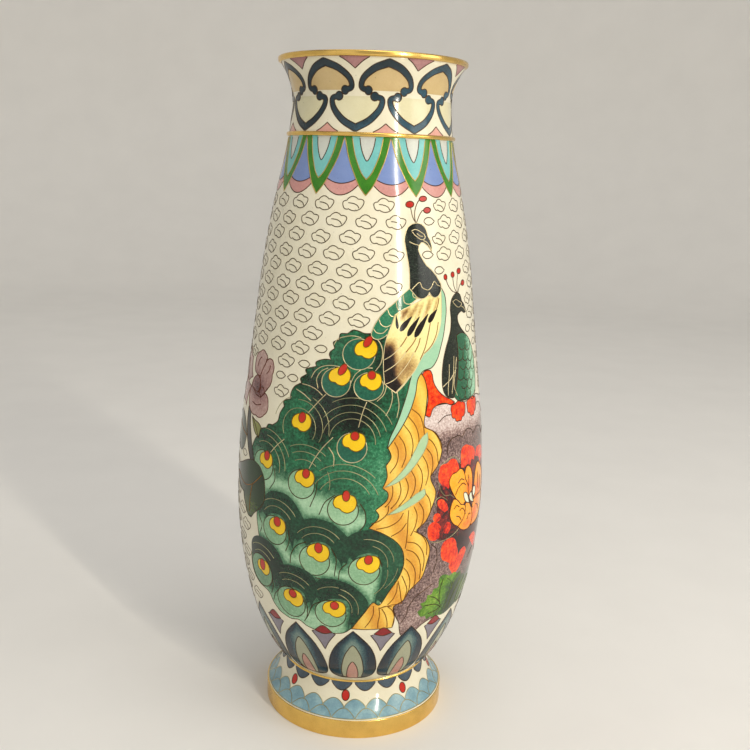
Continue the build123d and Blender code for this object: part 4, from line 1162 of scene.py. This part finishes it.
# piece: (slot without "enamel_", colours of the ramp, strength of the grain, strength of the mottling)
ENAMELS = {
    "ground_cream": ("cream", CREAM, 0.12, 0.3),
    "neck_cream": ("cream", CREAM, 0.12, 0.3),
    "foot_cream": ("cream", CREAM, 0.12, 0.3),
    "neck_tan": ("tan", [(170, 140, 95), (200, 175, 125), (214, 192, 146)], 0.2, 0.3),
    "neck_pale": ("cream", [(198, 190, 150), (218, 212, 176), (230, 226, 196)], 0.2, 0.3),
    "heart_scrolls": ("navy", [(18, 32, 38), (34, 54, 64), (66, 104, 124)], 0.3, 0.3),
    "neck_mauve": ("lilac", [(120, 76, 84), (168, 122, 122), (196, 156, 148)], 0.3, 0.3),
    "neck_pink": ("pink", [(196, 140, 130), (216, 164, 152), (226, 184, 170)], 0.3, 0.3),
    "collar_pink": ("pink", [(176, 116, 116), (202, 146, 140), (216, 170, 160)], 0.35, 0.3),
    "collar_blue": ("blue", [(98, 120, 172), (118, 140, 192), (140, 158, 200)], 0.2, 0.3),
    "lappet_green": ("leaf", [(30, 84, 20), (56, 124, 30), (84, 146, 44)], 0.3, 0.4),
    "lappet_turquoise": ("turquoise", [(88, 160, 160), (116, 188, 186), (146, 204, 200)], 0.25, 0.3),
    "lappet_core": ("lilac", [(176, 174, 176), (200, 204, 196), (214, 218, 204)], 0.3, 0.3),
    "petal_navy": ("navy", [(12, 26, 40), (20, 44, 58), (60, 92, 96), (112, 134, 126)], 0.3, 0.1),
    "petal_beige": ("tan", [(120, 132, 116), (158, 160, 134), (176, 176, 150)], 0.3, 0.2),
    "petal_pink": ("pink", [(150, 104, 92), (184, 136, 122), (200, 156, 140)], 0.35, 0.2),
    "dart_lilac": ("lilac", [(96, 90, 100), (128, 122, 134), (156, 150, 156)], 0.35, 0.3),
    "dart_red": ("red", [(96, 14, 16), (136, 26, 28), (150, 52, 52)], 0.25, 0.3),
    "foot_sky": ("sky", [(92, 130, 148), (128, 164, 176), (170, 200, 200)], 0.35, 0.5),
    "foot_discs": ("blue", [(44, 56, 62), (66, 82, 96), (94, 110, 126)], 0.4, 0.4),
    "foot_drops": ("red", [(150, 24, 20), (188, 42, 32), (204, 70, 54)], 0.2, 0.3),
    "train": ("dark_green", [(13, 17, 12), (20, 46, 30), (28, 88, 58),
        (48, 128, 88), (104, 166, 128)], 0.62, 0.2),
    "cap": ("dark_green", [(12, 24, 16), (18, 48, 32), (28, 78, 52), (60, 122, 86)], 0.6, 0.2),
    "disc_teal": ("emerald", [(18, 60, 48), (30, 92, 72), (60, 132, 98)], 0.6, 0.3),
    "mint": ("mint", [(22, 62, 42), (66, 116, 84), (122, 166, 130),
        (156, 196, 160), (180, 214, 182)], 0.4, 0.14),
    "mint_disc": ("mint", [(84, 124, 94), (128, 172, 134), (170, 208, 170)], 0.5, 0.2),
    "mint_strip": ("mint", [(128, 178, 146), (158, 202, 168), (190, 214, 188)], 0.25, 0.35),
    "mint_lance": ("mint", [(142, 182, 140), (168, 200, 158), (198, 212, 178)], 0.2, 0.35),
    "eye_yellow": ("yellow", [(214, 160, 16), (238, 196, 22), (246, 214, 60)], 0.2, 0.3),
    "eye_red": ("red", [(150, 26, 18), (190, 42, 26), (214, 70, 40)], 0.2, 0.3),
    "gold": ("gold", [(206, 136, 44), (228, 174, 64), (242, 208, 100)], 0.34, 0.2),
    "emerald": ("emerald", [(20, 78, 54), (44, 118, 86), (90, 156, 118)], 0.5, 0.3),
    "wing": ("tan", [(18, 14, 14), (62, 44, 34), (140, 104, 62), (202, 172, 108),
        (236, 222, 152), (240, 230, 168)], 0.22, 0.06),
    "feather_black": ("brown", [(14, 10, 10), (28, 18, 16), (96, 66, 40)], 0.3, 0.1),
    "plumage_black": ("black", [(10, 13, 11), (24, 31, 26), (66, 78, 66)], 0.6, 0.2),
    "second_neck": ("black", [(10, 13, 11), (28, 36, 28), (78, 86, 66)], 0.6, 0.2),
    "second_green": ("emerald", [(20, 58, 40), (40, 108, 74), (156, 208, 174)], 0.6, 0.2),
    "berry": ("red", [(140, 24, 20), (180, 38, 28), (204, 64, 44)], 0.2, 0.3),
    "rock": ("lilac", [(44, 32, 34), (98, 76, 74), (150, 124, 118),
        (198, 178, 172), (224, 212, 208)], 0.75, 0.2),
    "maroon": ("red", [(22, 8, 8), (48, 12, 12), (112, 24, 20), (190, 44, 24)], 0.8, 0.3),
    "red": ("red", [(60, 8, 8), (196, 24, 8), (234, 58, 8), (244, 100, 24)], 1.0, 0.3),
    "orange": ("orange", [(222, 70, 4), (240, 118, 8), (246, 162, 18), (250, 190, 50)], 0.3, 0.16),
    "pistil": ("cream", [(196, 204, 180), (226, 232, 206), (240, 242, 224)], 0.2, 0.3),
    "leaf": ("leaf", [(16, 32, 18), (36, 66, 28), (84, 132, 24), (140, 176, 60)], 0.5, 0.2),
    "leaf_dark": ("leaf", [(12, 26, 8), (24, 58, 16), (78, 96, 20)], 0.4, 0.25),
    "leaf_olive": ("leaf", [(92, 96, 50), (134, 138, 74), (170, 170, 110)], 0.25, 0.3),
    "stem": ("black", [(14, 18, 14), (30, 34, 26), (54, 56, 44)], 0.25, 0.3),
    "mauve_flower": ("pink", [(66, 30, 34), (118, 76, 76), (168, 130, 124), (200, 170, 160)], 0.4, 0.2),
}
# size of the grain in mm, where it isn't 0.6
GRAIN_MM = {
    "train": 1.1, "cap": 1.1, "mint": 1.3, "mint_disc": 1.0, "wing": 0.9, "rock": 0.9, "maroon": 1.5,
    "red": 1.8, "orange": 1.2, "leaf": 1.3, "leaf_dark": 1.3, "second_green": 0.9, "second_neck": 0.9,
    "plumage_black": 0.9, "disc_teal": 1.0, "emerald": 1.0, "foot_sky": 1.0, "petal_navy": 0.9,
    "gold": 1.0, "neck_mauve": 0.9, "collar_pink": 0.9, "mauve_flower": 1.2,
}
PALETTE = {
    name: (f"enamel_{slot}", enamel(name, stops, grain, mottle, GRAIN_MM.get(name, 0.6)))
    for name, (slot, stops, grain, mottle) in ENAMELS.items()
}

# kind of wire: (width in mm, bright colour, dull colour, roughness, dullness)
WIRES = {
    "dark": (0.45, (84, 60, 36), (40, 30, 22), 0.34, 0.7),
    "cloud": (0.44, (96, 80, 54), (54, 46, 34), 0.34, 0.7),
    "light": (0.42, (222, 208, 166), (176, 154, 108), 0.3, 0.5),
    "fine": (0.34, (176, 172, 130), (120, 118, 84), 0.34, 0.6),
    "collar": (0.5, (196, 168, 96), (110, 92, 52), 0.3, 0.6),
    "foot": (0.42, (170, 164, 120), (96, 92, 66), 0.3, 0.6),
    "gold": (0.48, (150, 98, 40), (92, 58, 26), 0.34, 0.6),
    "petal": (0.5, (110, 50, 22), (56, 22, 14), 0.34, 0.6),
    "leafy": (0.4, (116, 128, 70), (70, 84, 44), 0.34, 0.6),
    "eye": (0.42, (120, 84, 34), (60, 42, 22), 0.34, 0.6),
}
WIRE_MATERIALS = {kind: brass(f"wire_{kind}", *look) for kind, (_, *look) in WIRES.items()}


# ---------------------------------------------------------------- colour that drifts across a cell
def bell(x, y, cx, cy, rx, ry):
    return math.exp(-(((x - cx) / rx) ** 2 + ((y - cy) / ry) ** 2))


def drift(base, *spots):
    """A shade that is base plus soft spots, each given as (amount, x, y, half width, half height)."""
    def shade(x, y):
        return base + sum(amount * bell(x, y, *spot) for amount, *spot in spots)
    return shade


def rise(t):
    """A smooth step from 0 to 1 about t = 0."""
    return 1 / (1 + math.exp(-t))


WING = drift(0.94, (-0.1, 20, 190, 10, 4), (-0.4, 18, 177, 5, 8), (-0.3, 23, 179, 4, 5),
    (-0.3, 17.6, 201.5, 4, 2))
WING_STREAKS = (((21, 198), (26.4, 204.4), 1.2, 0.42), ((25.6, 198), (29.4, 205), 0.9, 0.36),
    ((30, 198), (33.4, 206.4), 1.1, 0.4), ((35.4, 200), (38.6, 206.8), 1.0, 0.36),
    ((32.6, 202), (36.4, 207.4), 0.8, 0.24), ((17, 198), (21.4, 203), 1.1, 0.36))


def wing_shade(x, y):
    """Cream to the right; black and then brown to the lower left; brown streaks above the dark feathers."""
    edge = 14.4 + 3.5 * bell(x, y, 16, 170, 9, 3.5)
    v = WING(x, y) - 0.92 * rise((188.5 - y) / 1.3) * rise((edge - x) / 0.8)
    for (x0, y0), (x1, y1), w, amount in WING_STREAKS:
        n = math.hypot(x1 - x0, y1 - y0)
        along = ((x - x0) * (x1 - x0) + (y - y0) * (y1 - y0)) / n
        across = ((x - x0) * (y1 - y0) - (y - y0) * (x1 - x0)) / n
        v -= amount * math.exp(-(across / w) ** 2 - ((along - n / 2) / (n * 0.62)) ** 4)
    return min(max(v, 0.02), 1.0)


def under_feathers():
    """Mint that darkens towards the feathers above it, by the distance to their outlines."""
    rims = [ring for piece, ring, _ in AREAS if piece == "cap"]
    first = next(ring for piece, ring, _ in AREAS if piece == "mint")
    rims.append(first[(first[:, 1] > 117) & (first[:, 0] < 2)])
    tree = tree_of([(x * SHEET_X, y) for x, y in np.concatenate(rims)])
    # painted shade: the darker patch low on the left, where the vase is in shade
    patches_and_shade = drift(0.2, (0.1, -30, 120, 14, 7), (-0.16, -45, 70, 16, 12))

    def shade(x, y):
        (_, above, _), _, away = tree.find((x * SHEET_X, y, 0))
        reach = 5.5 if above > y else 3.0  # further below a feather than above one
        t = min(away / reach, 1.0)
        return patches_and_shade(x, y) + 0.56 * t * t * (3 - 2 * t)
    return shade


# a petal of the petal band: half its width in degrees, the height of that and its own height above it
PETAL_HALF, PETAL_WIDEST, PETAL_RISE = 14.4, 34, 25.5


def petal_shade(x, y):
    """Paler towards the middle line of a petal."""
    aside = abs((x + 1 + 15) % 30 - 15)
    if y > PETAL_WIDEST:
        half = PETAL_HALF * math.sqrt(max(1 - ((y - PETAL_WIDEST) / PETAL_RISE) ** 2, 0.0001))
    else:
        half = PETAL_HALF - (PETAL_WIDEST - y) * 0.9
    return min(max(1.4 - 1.75 * aside / max(half, 0.5) - max(y - 50, 0) * 0.12, 0.05), 1.0)


ROCK = drift(0.28, (0.26, 29, 63, 8, 8), (0.14, 40, 80, 7, 9))
# the place of a point on its piece's colour ramp, in places painted light and shade as marked below; the
# pieces that aren't here keep to the middle
SHADES = {
    "train": drift(0.52, (-0.5, -3, 156, 11, 7), (-0.42, -18, 152, 6, 10), (-0.36, -6, 166, 14, 6),
        (-0.3, -22, 170, 10, 6), (-0.34, 8, 180, 5, 8), (-0.2, -48, 143, 10, 6), (0.22, 8, 128, 6, 22),
        (-0.3, 4, 190, 6, 3), (0.14, -30, 160, 8, 6), (0.14, -4, 144, 9, 7), (0.1, -14, 136, 10, 7),
        (0.05, -22, 138, 10, 4)),
    # painted light and shade: paler at the right, where the light falls, and darker on the lower left, where
    # the vase is in shade
    "cap": drift(0.46, (0.2, 16, 92, 8, 14), (-0.34, -50, 88, 14, 8), (-0.14, -30, 82, 12, 6),
        (-0.16, -8, 80, 9, 5), (-0.12, 4, 105, 10, 4)),
    # painted shade: darker on the lower left, where the vase is in shade; paler up at the front
    "mint_disc": drift(0.6, (-0.4, -50, 80, 16, 18), (0.25, -4, 112, 18, 14)),
    "wing": wing_shade,
    "feather_black": drift(0.2, (0.5, 25, 200.5, 14, 1.8)),
    "gold": lambda x, y: 0.5 + 0.35 * math.sin((x * 0.9 + y * 0.35) * 0.55),
    "second_green": lambda x, y: 0.3 + 0.65 * min(max((x - 57) / 9, 0), 1),
    "rock": lambda x, y: ROCK(x, y) + 0.6 * rise((y - 149) / 1.8),
    "red": drift(0.66, (-0.5, 40, 124.6, 5, 2), (-0.4, 58, 130.6, 6, 2), (-0.35, 41, 104, 5, 5)),
    "maroon": drift(0.36, (0.3, 39, 108, 4, 9), (0.25, 60, 128, 6, 5), (-0.2, 54, 96, 8, 4)),
    "orange": drift(0.74, (-0.4, 58, 120, 4, 5), (-0.5, 69, 117, 6, 5), (-0.45, 66, 106, 6, 5),
        (-0.35, 56, 103, 6, 3)),
    "leaf": drift(0.24, (0.6, 38, 69, 11, 9), (0.5, 50, 79, 9, 3.4), (0.3, 65, 66, 4, 7),
        (-0.18, 54, 70, 5, 8)),
    "leaf_dark": drift(0.36, (0.5, -58, 107, 7, 6), (-0.3, -76, 118, 8, 8)),
    "mauve_flower": drift(0.85, (-0.6, -60, 163, 9, 7)),
    # painted light: the hearts are lighter towards the right, the lit side of the vase, and lower down
    "heart_scrolls": lambda x, y: 0.3 + 0.45 * rise((x + (288 - y) * 2 - 10) / 9),
    "petal_navy": petal_shade,
    "ground_cream": lambda x, y: 0.55 - 0.44 * math.exp(-((y - 24.6) / 4) ** 2),
}


# ---------------------------------------------------------------- putting it together
CLOUD_SIDES = {"back_left": (-181, -90), "left": (-90, 0), "right": (0, 90), "back_right": (90, 181)}


def build_zone(draw, low, high, ground, nodes, spacing, with_clouds=False):
    """Draws one zone and turns it into slabs of enamel and wires."""
    AREAS.clear()
    LINES.clear()
    PIECES.clear()
    draw()
    if with_clouds:
        SHADES["mint"] = under_feathers()
        clouds()
    cells(low, high, ground, spacing)
    for name, parts in PIECES.items():
        slab(name, parts, nodes)
    zone = ground.split("_")[0]
    for kind, runs in visible_wires(low, high).items():
        groups = {"": runs}
        if kind == "cloud":
            groups = {f"_{side}": [run for run in runs if first <= run[0][0] < last]
                for side, (first, last) in CLOUD_SIDES.items()}
        for side, some in groups.items():
            ribbon(f"{zone}_wires_{kind}{side}", some, WIRES[kind][0], WIRE_MATERIALS[kind], nodes)


def draw_neck():
    neck_triangles()
    around(9, 9.5, heart(UPPER_HEART, "neck_tan"))
    around(9, -10.5, heart(LOWER_HEART, "neck_pale"))


def draw_belly():
    for motif in (rock, train, branch, golden_feathers, mint_strip, back, wing, head, second_bird, peony,
            green_leaf, left_flower, back_spray, collar, petal_band):
        motif()


build_zone(draw_neck, NECK_BOTTOM, MOUTH, "neck_cream", ["enamel_neck", "heart_wires"], (2.5, 2.0))
build_zone(draw_belly, BODY_BOTTOM, BODY_TOP, "ground_cream",
    ["enamel_body", "enamel_petal_band", "enamel_collar", "lappet_wires", "petal_wires"], (2.0, 2.5), True)
build_zone(foot, FOOT_BOTTOM, FOOT_TOP, "foot_cream", ["enamel_foot", "foot_wires"], (2.5, 1.5))

# the pieces that keep the CAD's own shape
LINING = enamel("lining_turquoise", [(70, 140, 140), (104, 176, 172), (134, 196, 188)], 0.3, 0.4)
COPPER = brass("bare_copper", (206, 132, 92), (120, 70, 44), 0.36, 0.8)
GILT = brass("gilt_brass", (240, 200, 112), (180, 138, 64), 0.18, 0.4, turned=True)
for mat, names in ((LINING, ("enamel_lining", "enamel_base")),
        (GILT, ("mouth_rim", "neck_ring", "waist_ring", "foot_band")),
        (COPPER, ("copper_body", "copper_neck", "copper_foot", "base_plate"))):
    for name in names:
        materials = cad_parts[name].data.materials
        materials.clear()
        materials.append(mat)


# ---------------------------------------------------------------- floor, light and camera
def plain(name, colour, rough):
    """A matt colour that varies by four percent either way."""
    mat, tree, shader, where = new_material(name)
    tone = remap(tree, noise(tree, where, 60.0, 4.0), 0, 1, 0.96, 1.04)
    dress(tree, shader, Base_Color=darkened(tree, linear(colour), tone), Roughness=rough)
    return mat


def backdrop():
    """A pale round floor that curves up into a wall all round, well away from the vase."""
    flat, bend, wall, turns = 1.35, 0.5, 2.4, 96
    profile = [(0.02, 0.0), (0.5, 0.0), (flat, 0.0)]
    for t in np.radians(np.linspace(9, 90, 10)):
        profile.append((flat + bend * math.sin(t), bend - bend * math.cos(t)))
    profile.append((flat + bend, wall))
    count = len(profile)
    verts, faces = [(0, 0, 0)], []
    for k in range(turns):
        a = 2 * math.pi * k / turns
        verts += [(r * math.cos(a), r * math.sin(a), z) for r, z in profile]
        here, there = 1 + k * count, 1 + (k + 1) % turns * count
        faces.append((0, here, there))
        faces += [(here + i, here + i + 1, there + i + 1, there + i) for i in range(count - 1)]
    mesh = bpy.data.meshes.new("floor")
    mesh.from_pydata(verts, [], faces)
    mesh.polygons.foreach_set("use_smooth", np.ones(len(mesh.polygons), bool))
    mesh.materials.append(plain("floor_pale", (228, 226, 222), 0.7))
    obj = bpy.data.objects.new("floor", mesh)
    bpy.context.scene.collection.objects.link(obj)


def softbox(name, position, target, size, power, colour):
    light = bpy.data.lights.new(name, "AREA")
    light.shape = "RECTANGLE"
    light.size, light.size_y = size
    light.energy = power
    light.color = colour
    obj = bpy.data.objects.new(name, light)
    obj.location = position
    obj.rotation_euler = (Vector(target) - Vector(position)).to_track_quat("-Z", "Y").to_euler()
    bpy.context.scene.collection.objects.link(obj)


backdrop()
softbox("key", (0.66, -0.95, 0.62), (0, 0, 0.18), (0.03, 0.7), 7.6, (1.0, 0.93, 0.8))
softbox("side", (0.95, -0.35, 0.6), (0, 0, 0.15), (0.5, 0.7), 2.4, (1.0, 0.97, 0.92))
softbox("top", (0.25, -0.45, 1.3), (0, 0, 0.1), (0.7, 0.7), 3.1, (1.0, 0.97, 0.93))
softbox("fill", (-0.75, -1.0, 0.5), (0, 0, 0.15), (0.8, 0.8), 0.7, (0.94, 0.96, 1.0))
softbox("ceiling", (0, 0, 2.3), (0, 0.01, 0), (2.4, 2.4), 18, (1.0, 0.99, 0.97))
world = bpy.data.worlds.new("studio")
world.use_nodes = True
background = world.node_tree.nodes["Background"]
background.inputs["Color"].default_value = (0.72, 0.74, 0.78, 1)
background.inputs["Strength"].default_value = 0.19
bpy.context.scene.world = world
bpy.context.scene.view_settings.view_transform = "Standard"

CAMERA_AT = Vector((0.0, -0.436, 0.2627))
YAW, PITCH, ROLL = math.radians(0.723), math.radians(-12.87), math.radians(1.99)
LENS, SHIFT_Y = 45.53, 0.0017
forward = Vector((math.sin(YAW) * math.cos(PITCH), math.cos(YAW) * math.cos(PITCH), math.sin(PITCH)))
level = Vector((math.cos(YAW), -math.sin(YAW), 0))
upright = level.cross(forward)
right = math.cos(ROLL) * level + math.sin(ROLL) * upright
up = -math.sin(ROLL) * level + math.cos(ROLL) * upright
camera_data = bpy.data.cameras.new("camera")
camera_data.lens = LENS
camera_data.sensor_width = 36.0
camera_data.shift_y = SHIFT_Y
camera_data.clip_start = 0.01
camera = bpy.data.objects.new("camera", camera_data)
axes = [(right[k], up[k], -forward[k], CAMERA_AT[k]) for k in range(3)]
camera.matrix_world = Matrix(axes + [(0, 0, 0, 1)])
bpy.context.scene.collection.objects.link(camera)
bpy.context.scene.camera = camera
